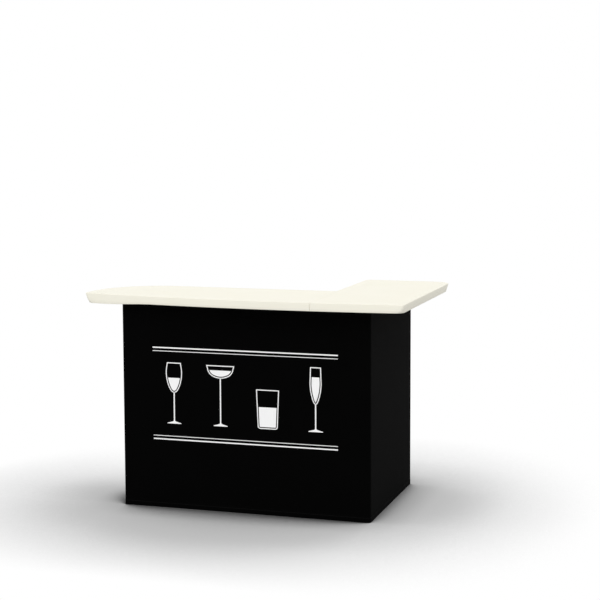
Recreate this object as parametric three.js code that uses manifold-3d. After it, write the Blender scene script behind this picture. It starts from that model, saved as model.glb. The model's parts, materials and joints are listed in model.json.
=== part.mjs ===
// Folding portable bar of L shape, in millimetres, +Z up, standing on the floor at z = 0.
// A moulded counter in two lift-off panels stands on a rigid corner tower and two scissor wings.
// The bar is drawn from its skirt's front left corner and then centred under its counter.

import * as THREE from 'three';
import { mergeVertices } from 'three/addons/utils/BufferGeometryUtils.js';
import Module from 'manifold-3d';

// Whole bar
const BAR_HEIGHT = 1050;
const SKIRT_WIDTH = 1256;
const SKIRT_DEPTH = 788;
const FIT_GAP = 0.3;
const JOIN_OVERLAP = 1;
const MERGE_DISTANCE = 1e-4;

// Counter: plan of its upper edge, its thickness, and its edge, which leans out a little to the top
const COUNTER_LEFT = -182;
const COUNTER_RIGHT = 1438;
const COUNTER_BACK = 925;
const MAIN_BACK = 366;
const SEAM_X = 996;
const COUNTER_THICKNESS = 40;
const END_FLARE = 14;
const FRONT_FLARE = 5;
const EDGE_ROUND = 6;
const EDGE_ROUND_MIDDLE = 0.3 * EDGE_ROUND;
const RETURN_INNER_TOP = 981;
const RETURN_INNER_LOW = 994;
const BOW_APEX_X = 787;
const BOW_APEX_Y = -121;
const BOW_RADIUS = 5360;
const MAIN_BACK_CORNER = 320;
const RETURN_BACK_CORNER = 85;
const RETURN_INNER_CORNER = 30;
const FRONT_CORNER_TOP = 24;
const FRONT_CORNER_LOW = 46;
const SHELL_SKIN = 5;
const SHELL_WALL_LOW = 5;
const SHELL_WALL_TOP = 12;
const BASE_THICKNESS = 3;
const BASE_CLEARANCE = 1.5;
const BOW_STEPS = 20;
const LARGE_CORNER_STEPS = 14;
const SMALL_CORNER_STEPS = 6;

// Frame tubes and the scissor wings
const POST_SIZE = 30;
const POST_WALL = 1.6;
const POST_INSET = 24;
const RAIL_SIZE = 20;
const RAIL_WALL = 1.5;
const LOW_RAIL_Z = 90;
const SHELF_RAIL_Z = 480;
const SCISSOR_RUN = 400;
const SCISSOR_RISE = 560;
const PIVOT_Z = 978;
const PIVOT_OFFSET = 34;
const WING_FRAME_SPAN = 200;

// Scissor bars, their pins and the lugs that carry them
const SCISSOR_BAR_HEIGHT = 22;
const SCISSOR_BAR_THICKNESS = 10;
const LUG_THICKNESS = 3;
const LUG_CLEARANCE = 1;
const LUG_RADIUS = 11;
const PIN_RADIUS = 4;
const PIN_HOLE_RADIUS = 4.3;
const PIN_HEAD_RADIUS = 8;
const PIN_HEAD_HEIGHT = 2.5;
const ROUND_SIDES = 16;
const ARC_SEGMENTS = 8;

// Post fittings
const CONNECTOR_SIZE = 36;
const CONNECTOR_HEIGHT = 40;
const PLUG_LENGTH = 28;
const PEG_RADIUS = 9;
const PEG_HEIGHT = 14;
const PEG_TAPER = 2;
const SOCKET_RADIUS = 9.6;
const SLEEVE_SIZE = 40;
const SLEEVE_BORE = 31;
const SLEEVE_HEIGHT = 46;
const FOOT_SIZE = 34;
const FOOT_HEIGHT = 14;

// Slider lock knob
const BOSS_RADIUS = 9;
const BOSS_LENGTH = 10;
const PLUNGER_RADIUS = 4.2;
const PLUNGER_HOLE_RADIUS = 4.6;
const KNOB_RADIUS = 11;
const KNOB_LENGTH = 11;
const KNOB_CHAMFER = 2;

// Shelf and skirt
const SHELF_THICKNESS = 10;
const SHELF_SIDE_GAP = 7;
const SHELF_CORNER = 6;
const SKIRT_THICKNESS = 1.2;
const SKIRT_HEM_Z = 4;
const SKIRT_TOP_GAP = 0.6;

// Places that follow from the driving sizes
const COUNTER_UNDERSIDE = BAR_HEIGHT - COUNTER_THICKNESS;
const DECK_Z = COUNTER_UNDERSIDE - FIT_GAP;
const LEFT_X = POST_INSET;
const FRONT_Y = POST_INSET;
const RIGHT_X = SKIRT_WIDTH - POST_INSET;
const WING_Y = SKIRT_DEPTH - POST_INSET;
const TOWER_X = LEFT_X + 2 * SCISSOR_RUN + 2 * PIVOT_OFFSET;
const TOWER_Y = WING_Y - SCISSOR_RUN - 2 * PIVOT_OFFSET;
const WING_INNER_X = RIGHT_X - WING_FRAME_SPAN;
const COUNTER_CENTRE_X = (COUNTER_LEFT + COUNTER_RIGHT) / 2;
const COUNTER_CENTRE_Y = (BOW_APEX_Y + COUNTER_BACK) / 2;

const wasm = await Module();
wasm.setup();

const bar = new THREE.Group();
bar.position.set(-COUNTER_CENTRE_X, -COUNTER_CENTRE_Y, 0);

// Finishes

const creamPlastic = { color: 0xf9f7ea, roughness: 0.42, metalness: 0 };
const blackFabric = { color: 0x0b0b0c, roughness: 0.9, metalness: 0 };
const anodised = { color: 0xb9bcc0, roughness: 0.38, metalness: 0.9 };
const zincPlated = { color: 0x9fa2a6, roughness: 0.3, metalness: 0.95 };
const blackNylon = { color: 0x17181a, roughness: 0.55, metalness: 0 };
const blackRubber = { color: 0x101011, roughness: 0.85, metalness: 0 };

function addPiece(parent, name, geometry, finish) {
  const mesh = new THREE.Mesh(geometry, new THREE.MeshStandardMaterial(finish));
  mesh.name = name;
  parent.add(mesh);
  return mesh;
}

// Joining and cutting of closed shapes

function toSolid(geometry) {
  const bare = geometry.clone();
  bare.deleteAttribute('normal');
  bare.deleteAttribute('uv');
  const merged = mergeVertices(bare, MERGE_DISTANCE);
  const vertProperties = new Float32Array(merged.attributes.position.array);
  const triVerts = new Uint32Array(merged.index.array);
  return new wasm.Manifold(new wasm.Mesh({ numProp: 3, vertProperties, triVerts }));
}

function toGeometry(solid) {
  const { vertProperties, triVerts } = solid.getMesh();
  const geometry = new THREE.BufferGeometry();
  geometry.setAttribute('position', new THREE.BufferAttribute(new Float32Array(vertProperties), 3));
  geometry.setIndex(new THREE.BufferAttribute(new Uint32Array(triVerts), 1));
  geometry.computeVertexNormals();
  return geometry;
}

function join(...geometries) {
  const solids = geometries.map(toSolid);
  return toGeometry(solids.reduce((whole, next) => whole.add(next)));
}

function cut(body, ...tools) {
  const solids = tools.map(toSolid);
  return toGeometry(solids.reduce((whole, tool) => whole.subtract(tool), toSolid(body)));
}

// Basic shapes

function block(width, depth, height, x, y, zLow) {
  return new THREE.BoxGeometry(width, depth, height).translate(x, y, zLow + height / 2);
}

function rodAlongY(radius, yLow, yHigh, x, z) {
  const rod = new THREE.CylinderGeometry(radius, radius, yHigh - yLow, ROUND_SIDES);
  return rod.translate(x, (yLow + yHigh) / 2, z);
}

function roundedRectangle(xLow, yLow, xHigh, yHigh, corner) {
  const shape = new THREE.Shape();
  shape.absarc(xHigh - corner, yHigh - corner, corner, 0, Math.PI / 2);
  shape.absarc(xLow + corner, yHigh - corner, corner, Math.PI / 2, Math.PI);
  shape.absarc(xLow + corner, yLow + corner, corner, Math.PI, 1.5 * Math.PI);
  shape.absarc(xHigh - corner, yLow + corner, corner, 1.5 * Math.PI, 2 * Math.PI);
  shape.closePath();
  return shape;
}

// A square tube of the given length, standing on z = 0.
function squareTube(size, wall, length) {
  const half = size / 2;
  const inner = half - wall;
  const section = new THREE.Shape();
  section.moveTo(-half, -half).lineTo(half, -half).lineTo(half, half).lineTo(-half, half).closePath();
  const bore = new THREE.Path();
  bore.moveTo(-inner, -inner).lineTo(-inner, inner).lineTo(inner, inner).lineTo(inner, -inner).closePath();
  section.holes.push(bore);
  return new THREE.ExtrudeGeometry(section, { depth: length, bevelEnabled: false });
}

// Counter panels: outlines run anticlockwise, seen from above. The arris along the seam stays square.

function bowY(x) {
  return BOW_APEX_Y + (x - BOW_APEX_X) ** 2 / (2 * BOW_RADIUS);
}

function arcPoints(centreX, centreY, radius, fromDeg, toDeg, steps) {
  const points = [];
  for (let i = 0; i <= steps; i += 1) {
    const angle = THREE.MathUtils.degToRad(fromDeg + ((toDeg - fromDeg) * i) / steps);
    points.push(new THREE.Vector2(centreX + radius * Math.cos(angle), centreY + radius * Math.sin(angle)));
  }
  return points;
}

function frontPoints(setBack, fromX, toX, steps) {
  const points = [];
  for (let i = 0; i <= steps; i += 1) {
    const x = fromX + ((toX - fromX) * i) / steps;
    points.push(new THREE.Vector2(x, bowY(x) + setBack));
  }
  return points;
}

function mainOutline(level, inset) {
  const setIn = level.endSetIn + inset;
  const left = COUNTER_LEFT + setIn;
  const back = MAIN_BACK - setIn;
  const seam = SEAM_X - FIT_GAP / 2 - (level.inside ? inset : 0);
  const frontCorner = level.frontCorner - inset / 2;
  const backCorner = MAIN_BACK_CORNER - setIn;
  const front = frontPoints(level.frontSetIn + inset, left + frontCorner, seam, BOW_STEPS);
  const cornerY = front[0].y + frontCorner;
  return [
    ...front,
    new THREE.Vector2(seam, back),
    ...arcPoints(left + backCorner, back - backCorner, backCorner, 90, 180, LARGE_CORNER_STEPS),
    ...arcPoints(left + frontCorner, cornerY, frontCorner, 180, 270, SMALL_CORNER_STEPS).slice(0, -1),
  ];
}

function returnOutline(level, inset) {
  const setIn = level.endSetIn + inset;
  const right = COUNTER_RIGHT - setIn;
  const back = COUNTER_BACK - setIn;
  const inner = level.inner + inset;
  const seam = SEAM_X + FIT_GAP / 2 + (level.inside ? inset : 0);
  const frontCorner = level.frontCorner - inset / 2;
  const backCorner = RETURN_BACK_CORNER - setIn;
  const innerCorner = RETURN_INNER_CORNER - setIn / 2;
  const stepY = MAIN_BACK + 2 * FIT_GAP + inset;
  const front = frontPoints(level.frontSetIn + inset, seam, right - frontCorner, BOW_STEPS / 2);
  const frontEndY = front.at(-1).y;
  return [
    ...front.slice(0, -1),
    ...arcPoints(right - frontCorner, frontEndY + frontCorner, frontCorner, 270, 360, SMALL_CORNER_STEPS),
    ...arcPoints(right - backCorner, back - backCorner, backCorner, 0, 90, SMALL_CORNER_STEPS),
    ...arcPoints(inner + innerCorner, back - innerCorner, innerCorner, 90, 180, SMALL_CORNER_STEPS),
    new THREE.Vector2(inner, stepY),
    new THREE.Vector2(seam, stepY),
  ];
}

const UPPER_EDGE = {
  endSetIn: 0,
  frontSetIn: 0,
  frontCorner: FRONT_CORNER_TOP,
  inner: RETURN_INNER_TOP,
  inside: false,
};
const LOWER_EDGE = {
  endSetIn: END_FLARE,
  frontSetIn: FRONT_FLARE,
  frontCorner: FRONT_CORNER_LOW,
  inner: RETURN_INNER_LOW,
  inside: false,
};
const UPPER_INSIDE = { ...UPPER_EDGE, inside: true };
const LOWER_INSIDE = { ...LOWER_EDGE, inside: true };

function atHeight(outline, z) {
  return outline.map(({ x, y }) => new THREE.Vector3(x, y, z));
}

// A closed solid whose wall runs through rings of equal point count, with the first and the last ring filled.
function loft(rings) {
  const count = rings[0].length;
  const positions = rings.flat().flatMap(({ x, y, z }) => [x, y, z]);
  const indices = [];
  for (let level = 0; level < rings.length - 1; level += 1) {
    for (let i = 0; i < count; i += 1) {
      const next = (i + 1) % count;
      const a = level * count + i;
      const b = level * count + next;
      indices.push(a, b, b + count, a, b + count, a + count);
    }
  }
  const top = (rings.length - 1) * count;
  for (const [a, b, c] of THREE.ShapeUtils.triangulateShape(rings[0], [])) {
    indices.push(a, c, b);
  }
  for (const [a, b, c] of THREE.ShapeUtils.triangulateShape(rings.at(-1), [])) {
    indices.push(top + a, top + b, top + c);
  }
  const geometry = new THREE.BufferGeometry();
  geometry.setAttribute('position', new THREE.Float32BufferAttribute(positions, 3));
  geometry.setIndex(indices);
  return geometry;
}

// A moulded shell, open underneath. Its skin runs from the ceiling inside down to the lip, then up the
// edge and over the rounded upper arris to the flat counter face.
function counterShell(outlineOf) {
  return loft([
    atHeight(outlineOf(UPPER_INSIDE, SHELL_WALL_TOP), BAR_HEIGHT - SHELL_SKIN),
    atHeight(outlineOf(LOWER_INSIDE, SHELL_WALL_LOW), COUNTER_UNDERSIDE),
    atHeight(outlineOf(LOWER_EDGE, 0), COUNTER_UNDERSIDE),
    atHeight(outlineOf(UPPER_EDGE, 0), BAR_HEIGHT - EDGE_ROUND),
    atHeight(outlineOf(UPPER_EDGE, EDGE_ROUND_MIDDLE), BAR_HEIGHT - EDGE_ROUND_MIDDLE),
    atHeight(outlineOf(UPPER_EDGE, EDGE_ROUND), BAR_HEIGHT),
  ]);
}

// The flat panel that closes a shell from below, with round sockets for the locating pegs.
function counterBase(outlineOf, sockets) {
  const shape = new THREE.Shape(outlineOf(LOWER_INSIDE, SHELL_WALL_LOW + BASE_CLEARANCE));
  for (const [x, y] of sockets) {
    const socket = new THREE.Path();
    socket.absarc(x, y, SOCKET_RADIUS, 0, 2 * Math.PI, true);
    shape.holes.push(socket);
  }
  const options = { depth: BASE_THICKNESS, bevelEnabled: false, curveSegments: ARC_SEGMENTS };
  return new THREE.ExtrudeGeometry(shape, options).translate(0, 0, COUNTER_UNDERSIDE);
}

const mainSockets = [[TOWER_X, FRONT_Y], [TOWER_X, TOWER_Y]];
const returnSockets = [[RIGHT_X, FRONT_Y], [RIGHT_X, TOWER_Y]];
addPiece(bar, 'main_top_shell', counterShell(mainOutline), creamPlastic);
addPiece(bar, 'main_top_base', counterBase(mainOutline, mainSockets), creamPlastic);
addPiece(bar, 'return_top_shell', counterShell(returnOutline), creamPlastic);
addPiece(bar, 'return_top_base', counterBase(returnOutline, returnSockets), creamPlastic);

// Posts with their rubber feet

const POST_TOP = DECK_Z - CONNECTOR_HEIGHT - FIT_GAP;
const PLUG_SIZE = POST_SIZE - 2 * POST_WALL - 2 * FIT_GAP;

function footGeometry() {
  const pad = block(FOOT_SIZE, FOOT_SIZE, FOOT_HEIGHT - FIT_GAP, 0, 0, 0);
  return join(pad, block(PLUG_SIZE, PLUG_SIZE, PLUG_LENGTH, 0, 0, FOOT_HEIGHT / 2));
}

const postPlaces = {
  left_front: [LEFT_X, FRONT_Y],
  left_back: [LEFT_X, TOWER_Y],
  tower_front_left: [TOWER_X, FRONT_Y],
  tower_front_right: [RIGHT_X, FRONT_Y],
  tower_back_right: [RIGHT_X, TOWER_Y],
  tower_back_left: [TOWER_X, TOWER_Y],
  wing_outer: [RIGHT_X, WING_Y],
  wing_inner: [WING_INNER_X, WING_Y],
};

for (const [place, [x, y]] of Object.entries(postPlaces)) {
  const tube = squareTube(POST_SIZE, POST_WALL, POST_TOP - FOOT_HEIGHT);
  addPiece(bar, `${place}_post`, tube, anodised).position.set(x, y, FOOT_HEIGHT);
  addPiece(bar, `${place}_foot`, footGeometry(), blackRubber).position.set(x, y, 0);
}

// Connectors that cap the posts. A hub connector also carries a fixed scissor pivot on a lug
// towards -X, with its stub pin pointing to -Y.

const BAR_NEAR = LUG_THICKNESS / 2 + LUG_CLEARANCE;
const BAR_FAR = BAR_NEAR + SCISSOR_BAR_THICKNESS;
const PIN_END = BAR_FAR + FIT_GAP + PIN_HEAD_HEIGHT;

// A lug plate from the fitting's side out to the pivot, with its stub pin and head.
function pivotLug(fittingHalf, z, pinSide) {
  const root = -fittingHalf + JOIN_OVERLAP;
  const reach = PIVOT_OFFSET + root;
  const plate = block(reach, LUG_THICKNESS, 2 * LUG_RADIUS, root - reach / 2, 0, z - LUG_RADIUS);
  const round = rodAlongY(LUG_RADIUS, -LUG_THICKNESS / 2, LUG_THICKNESS / 2, -PIVOT_OFFSET, z);
  const stubEnd = pinSide * PIN_END;
  const headStart = pinSide * (BAR_FAR + FIT_GAP);
  const stub = rodAlongY(PIN_RADIUS, Math.min(0, stubEnd), Math.max(0, stubEnd), -PIVOT_OFFSET, z);
  const headLow = Math.min(headStart, stubEnd);
  const headHigh = Math.max(headStart, stubEnd);
  const head = rodAlongY(PIN_HEAD_RADIUS, headLow, headHigh, -PIVOT_OFFSET, z);
  return [plate, round, stub, head];
}

function connectorGeometry(withPeg, withHub) {
  const low = DECK_Z - CONNECTOR_HEIGHT;
  const pieces = [
    block(CONNECTOR_SIZE, CONNECTOR_SIZE, CONNECTOR_HEIGHT, 0, 0, low),
    block(PLUG_SIZE, PLUG_SIZE, PLUG_LENGTH + JOIN_OVERLAP, 0, 0, low - PLUG_LENGTH),
  ];
  if (withPeg) {
    const pegLength = PEG_HEIGHT + JOIN_OVERLAP;
    const peg = new THREE.CylinderGeometry(PEG_RADIUS - PEG_TAPER, PEG_RADIUS, pegLength, ROUND_SIDES);
    pieces.push(peg.rotateX(Math.PI / 2).translate(0, 0, DECK_Z + PEG_HEIGHT - pegLength / 2));
  }
  if (withHub) {
    pieces.push(...pivotLug(CONNECTOR_SIZE / 2, PIVOT_Z, -1));
  }
  return join(...pieces);
}

const towerPlaces = ['tower_front_left', 'tower_front_right', 'tower_back_right', 'tower_back_left'];
const hubTurns = {
  tower_front_left: 0,
  left_front: Math.PI,
  tower_back_right: -Math.PI / 2,
  wing_outer: Math.PI / 2,
};

for (const [place, [x, y]] of Object.entries(postPlaces)) {
  const geometry = connectorGeometry(towerPlaces.includes(place), place in hubTurns);
  const connector = addPiece(bar, `${place}_connector`, geometry, blackNylon);
  connector.position.set(x, y, 0);
  connector.rotation.z = hubTurns[place] ?? 0;
}

// Rails between two posts, along X or along Y

function addRail(name, alongX, from, to, across, z, endClearance) {
  const length = to - from - 2 * (endClearance + FIT_GAP);
  const rail = addPiece(bar, name, squareTube(RAIL_SIZE, RAIL_WALL, length), anodised);
  const start = from + endClearance + FIT_GAP;
  if (alongX) {
    rail.rotation.y = Math.PI / 2;
    rail.position.set(start, across, z);
  } else {
    rail.rotation.x = -Math.PI / 2;
    rail.position.set(across, start, z);
  }
}

const TOP_RAIL_Z = DECK_Z - RAIL_SIZE / 2;
const AT_CONNECTOR = CONNECTOR_SIZE / 2;
const AT_POST = POST_SIZE / 2;
addRail('tower_front_top_rail', true, TOWER_X, RIGHT_X, FRONT_Y, TOP_RAIL_Z, AT_CONNECTOR);
addRail('tower_back_top_rail', true, TOWER_X, RIGHT_X, TOWER_Y, TOP_RAIL_Z, AT_CONNECTOR);
addRail('tower_left_top_rail', false, FRONT_Y, TOWER_Y, TOWER_X, TOP_RAIL_Z, AT_CONNECTOR);
addRail('tower_right_top_rail', false, FRONT_Y, TOWER_Y, RIGHT_X, TOP_RAIL_Z, AT_CONNECTOR);
addRail('tower_front_low_rail', true, TOWER_X, RIGHT_X, FRONT_Y, LOW_RAIL_Z, AT_POST);
addRail('tower_left_shelf_rail', false, FRONT_Y, TOWER_Y, TOWER_X, SHELF_RAIL_Z, AT_POST);
addRail('tower_right_shelf_rail', false, FRONT_Y, TOWER_Y, RIGHT_X, SHELF_RAIL_Z, AT_POST);
addRail('left_top_rail', false, FRONT_Y, TOWER_Y, LEFT_X, TOP_RAIL_Z, AT_CONNECTOR);
addRail('left_low_rail', false, FRONT_Y, TOWER_Y, LEFT_X, LOW_RAIL_Z, AT_POST);
addRail('wing_top_rail', true, WING_INNER_X, RIGHT_X, WING_Y, TOP_RAIL_Z, AT_CONNECTOR);
addRail('wing_low_rail', true, WING_INNER_X, RIGHT_X, WING_Y, LOW_RAIL_Z, AT_POST);

// Slider sleeves on the scissor posts. Each has a lug towards -X with its stub pin pointing to +Y,
// and a locking slider has a drilled boss on the side that faces into the bar.

const SLIDER_Z = PIVOT_Z - SCISSOR_RISE;
const BOSS_END = SLEEVE_SIZE / 2 + BOSS_LENGTH;

function sleeveGeometry(bossSide) {
  const pieces = [
    block(SLEEVE_SIZE, SLEEVE_SIZE, SLEEVE_HEIGHT, 0, 0, -SLEEVE_HEIGHT / 2),
    ...pivotLug(SLEEVE_SIZE / 2, 0, 1),
  ];
  const bore = block(SLEEVE_BORE, SLEEVE_BORE, 2 * SLEEVE_HEIGHT, 0, 0, -SLEEVE_HEIGHT);
  if (bossSide === 0) {
    return cut(join(...pieces), bore);
  }
  const bossStart = bossSide * (SLEEVE_SIZE / 2 - JOIN_OVERLAP);
  const bossEnd = bossSide * BOSS_END;
  pieces.push(rodAlongY(BOSS_RADIUS, Math.min(bossStart, bossEnd), Math.max(bossStart, bossEnd), 0, 0));
  const drill = bossSide * 2 * BOSS_END;
  const hole = rodAlongY(PLUNGER_HOLE_RADIUS, Math.min(0, drill), Math.max(0, drill), 0, 0);
  return cut(join(...pieces), bore, hole);
}

const sliderPlaces = [
  { name: 'tower_front_slider', place: 'tower_front_left', turn: 0, bossSide: 0 },
  { name: 'left_slider', place: 'left_front', turn: Math.PI, bossSide: -1 },
  { name: 'tower_side_slider', place: 'tower_back_right', turn: -Math.PI / 2, bossSide: 0 },
  { name: 'wing_slider', place: 'wing_outer', turn: Math.PI / 2, bossSide: 1 },
];

for (const { name, place, turn, bossSide } of sliderPlaces) {
  const slider = addPiece(bar, name, sleeveGeometry(bossSide), blackNylon);
  const [x, y] = postPlaces[place];
  slider.position.set(x, y, SLIDER_Z);
  slider.rotation.z = turn;
}

// Lock knobs: a sprung plunger in the boss and a round head to pull

function knobGeometry() {
  const nose = SLEEVE_BORE / 2 + FIT_GAP;
  const headLow = BOSS_END + FIT_GAP;
  const headHigh = headLow + KNOB_LENGTH;
  const profile = [
    new THREE.Vector2(0, nose),
    new THREE.Vector2(PLUNGER_RADIUS, nose),
    new THREE.Vector2(PLUNGER_RADIUS, headLow),
    new THREE.Vector2(KNOB_RADIUS - KNOB_CHAMFER, headLow),
    new THREE.Vector2(KNOB_RADIUS, headLow + KNOB_CHAMFER),
    new THREE.Vector2(KNOB_RADIUS, headHigh - KNOB_CHAMFER),
    new THREE.Vector2(KNOB_RADIUS - KNOB_CHAMFER, headHigh),
    new THREE.Vector2(0, headHigh),
  ];
  return new THREE.LatheGeometry(profile, ROUND_SIDES);
}

const leftKnob = addPiece(bar, 'left_lock_knob', knobGeometry(), blackNylon);
leftKnob.position.set(LEFT_X, FRONT_Y, SLIDER_Z);
const wingKnob = addPiece(bar, 'wing_lock_knob', knobGeometry(), blackNylon);
wingKnob.position.set(RIGHT_X, WING_Y, SLIDER_Z);
wingKnob.rotation.z = Math.PI / 2;

// Scissor bars. Each wing is drawn running along -X from its tower post. A falling bar lies on the
// -Y side and carries the clinched centre rivet; a rising bar lies on the +Y side and turns on it.

const SCISSOR_LENGTH = Math.hypot(SCISSOR_RUN, SCISSOR_RISE);
const SCISSOR_ANGLE = Math.atan2(SCISSOR_RISE, SCISSOR_RUN);
const BAR_MIDDLE = (BAR_NEAR + BAR_FAR) / 2;

// A flat bar along +X from its first pivot, with round ends and pivot holes.
function flatBar(holes) {
  const half = SCISSOR_BAR_HEIGHT / 2;
  const shape = new THREE.Shape();
  shape.absarc(SCISSOR_LENGTH, 0, half, -Math.PI / 2, Math.PI / 2);
  shape.absarc(0, 0, half, Math.PI / 2, 1.5 * Math.PI);
  shape.closePath();
  for (const x of holes) {
    const hole = new THREE.Path();
    hole.absarc(x, 0, PIN_HOLE_RADIUS, 0, 2 * Math.PI, true);
    shape.holes.push(hole);
  }
  const options = { depth: SCISSOR_BAR_THICKNESS, bevelEnabled: false, curveSegments: ARC_SEGMENTS };
  const plate = new THREE.ExtrudeGeometry(shape, options);
  return plate.translate(0, 0, -SCISSOR_BAR_THICKNESS / 2).rotateX(Math.PI / 2);
}

// A pin along Y with a head at each end and a collar between the two bars.
function pinPieces(x) {
  return [
    rodAlongY(PIN_RADIUS, -PIN_END, PIN_END, x, 0),
    rodAlongY(PIN_HEAD_RADIUS, -PIN_END, -BAR_FAR - FIT_GAP, x, 0),
    rodAlongY(PIN_HEAD_RADIUS, -BAR_NEAR + FIT_GAP, BAR_NEAR - FIT_GAP, x, 0),
    rodAlongY(PIN_HEAD_RADIUS, BAR_FAR + FIT_GAP, PIN_END, x, 0),
  ];
}

function fallingBar() {
  const plate = flatBar([0, SCISSOR_LENGTH]);
  const middle = SCISSOR_LENGTH / 2;
  const rivet = [
    rodAlongY(PIN_RADIUS, 0, PIN_END + BAR_MIDDLE, middle, 0),
    rodAlongY(PIN_HEAD_RADIUS, 0, 2 * BAR_NEAR - FIT_GAP + SCISSOR_BAR_THICKNESS / 2, middle, 0),
    rodAlongY(PIN_HEAD_RADIUS, BAR_FAR + BAR_MIDDLE + FIT_GAP, PIN_END + BAR_MIDDLE, middle, 0),
    rodAlongY(PIN_HEAD_RADIUS, -SCISSOR_BAR_THICKNESS / 2 - PIN_HEAD_HEIGHT, 0, middle, 0),
  ];
  return join(plate, ...rivet);
}

function addScissorPair(wing, prefix, startX) {
  const falling = addPiece(wing, `${prefix}_falling_bar`, fallingBar(), anodised);
  falling.position.set(startX, -BAR_MIDDLE, PIVOT_Z);
  falling.rotation.y = Math.PI - SCISSOR_ANGLE;
  const risingBar = flatBar([0, SCISSOR_LENGTH / 2, SCISSOR_LENGTH]);
  const rising = addPiece(wing, `${prefix}_rising_bar`, risingBar, anodised);
  rising.position.set(startX, BAR_MIDDLE, SLIDER_Z);
  rising.rotation.y = Math.PI + SCISSOR_ANGLE;
}

const frontWing = new THREE.Group();
frontWing.position.set(TOWER_X, FRONT_Y, 0);
addScissorPair(frontWing, 'front_near', -PIVOT_OFFSET);
addScissorPair(frontWing, 'front_far', -PIVOT_OFFSET - SCISSOR_RUN);
for (const [name, z] of [['front_upper_pin', PIVOT_Z], ['front_lower_pin', SLIDER_Z]]) {
  const pin = addPiece(frontWing, name, join(...pinPieces(0)), zincPlated);
  pin.position.set(-PIVOT_OFFSET - SCISSOR_RUN, 0, z);
}
bar.add(frontWing);

const sideWing = new THREE.Group();
sideWing.position.set(RIGHT_X, TOWER_Y, 0);
sideWing.rotation.z = -Math.PI / 2;
addScissorPair(sideWing, 'side', -PIVOT_OFFSET);
bar.add(sideWing);

// Shelf that lies loose on the tower's two shelf rails, between the posts

const shelfShape = roundedRectangle(
  TOWER_X - SHELF_CORNER,
  FRONT_Y + POST_SIZE / 2 + SHELF_SIDE_GAP,
  RIGHT_X + SHELF_CORNER,
  TOWER_Y - POST_SIZE / 2 - SHELF_SIDE_GAP,
  SHELF_CORNER,
);
const shelfOptions = { depth: SHELF_THICKNESS, bevelEnabled: false, curveSegments: ARC_SEGMENTS };
const shelfPanel = new THREE.ExtrudeGeometry(shelfShape, shelfOptions);
const shelf = addPiece(bar, 'corner_shelf', shelfPanel, creamPlastic);
shelf.position.z = SHELF_RAIL_Z + RAIL_SIZE / 2 + FIT_GAP;

// Skirt of stretched fabric: the two wing lengths, the length wrapped round the tower, and two ends

const SKIRT_HEIGHT = DECK_Z - SKIRT_TOP_GAP - SKIRT_HEM_Z;
const TOWER_WRAP_X = TOWER_X - POST_INSET;
const TOWER_WRAP_Y = TOWER_Y + POST_INSET;
const SKIRT_HALF = SKIRT_THICKNESS / 2;

function clothX(xLow, xHigh, yMiddle) {
  return block(xHigh - xLow, SKIRT_THICKNESS, SKIRT_HEIGHT, (xLow + xHigh) / 2, yMiddle, SKIRT_HEM_Z);
}

function clothY(yLow, yHigh, xMiddle) {
  return block(SKIRT_THICKNESS, yHigh - yLow, SKIRT_HEIGHT, xMiddle, (yLow + yHigh) / 2, SKIRT_HEM_Z);
}

const RIGHT_CLOTH_X = SKIRT_WIDTH - SKIRT_HALF;
const INSIDE_FRONT = SKIRT_THICKNESS + FIT_GAP;
addPiece(bar, 'skirt_front', clothX(0, TOWER_WRAP_X - FIT_GAP, SKIRT_HALF), blackFabric);
const wrapShape = new THREE.Shape();
wrapShape.moveTo(TOWER_WRAP_X, 0).lineTo(SKIRT_WIDTH, 0).lineTo(SKIRT_WIDTH, TOWER_WRAP_Y);
wrapShape.lineTo(SKIRT_WIDTH - SKIRT_THICKNESS, TOWER_WRAP_Y);
wrapShape.lineTo(SKIRT_WIDTH - SKIRT_THICKNESS, SKIRT_THICKNESS).lineTo(TOWER_WRAP_X, SKIRT_THICKNESS);
wrapShape.closePath();
const wrap = new THREE.ExtrudeGeometry(wrapShape, { depth: SKIRT_HEIGHT, bevelEnabled: false });
addPiece(bar, 'skirt_corner', wrap, blackFabric).position.z = SKIRT_HEM_Z;
addPiece(bar, 'skirt_side', clothY(TOWER_WRAP_Y + FIT_GAP, SKIRT_DEPTH, RIGHT_CLOTH_X), blackFabric);
addPiece(bar, 'skirt_left', clothY(INSIDE_FRONT, TOWER_Y + POST_SIZE / 2, SKIRT_HALF), blackFabric);
const endCloth = clothX(WING_INNER_X - POST_INSET, SKIRT_WIDTH - INSIDE_FRONT, SKIRT_DEPTH - SKIRT_HALF);
addPiece(bar, 'skirt_end', endCloth, blackFabric);

export default bar;
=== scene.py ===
import json
import math

import bmesh
import bpy
from mathutils import Matrix, Vector

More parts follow.
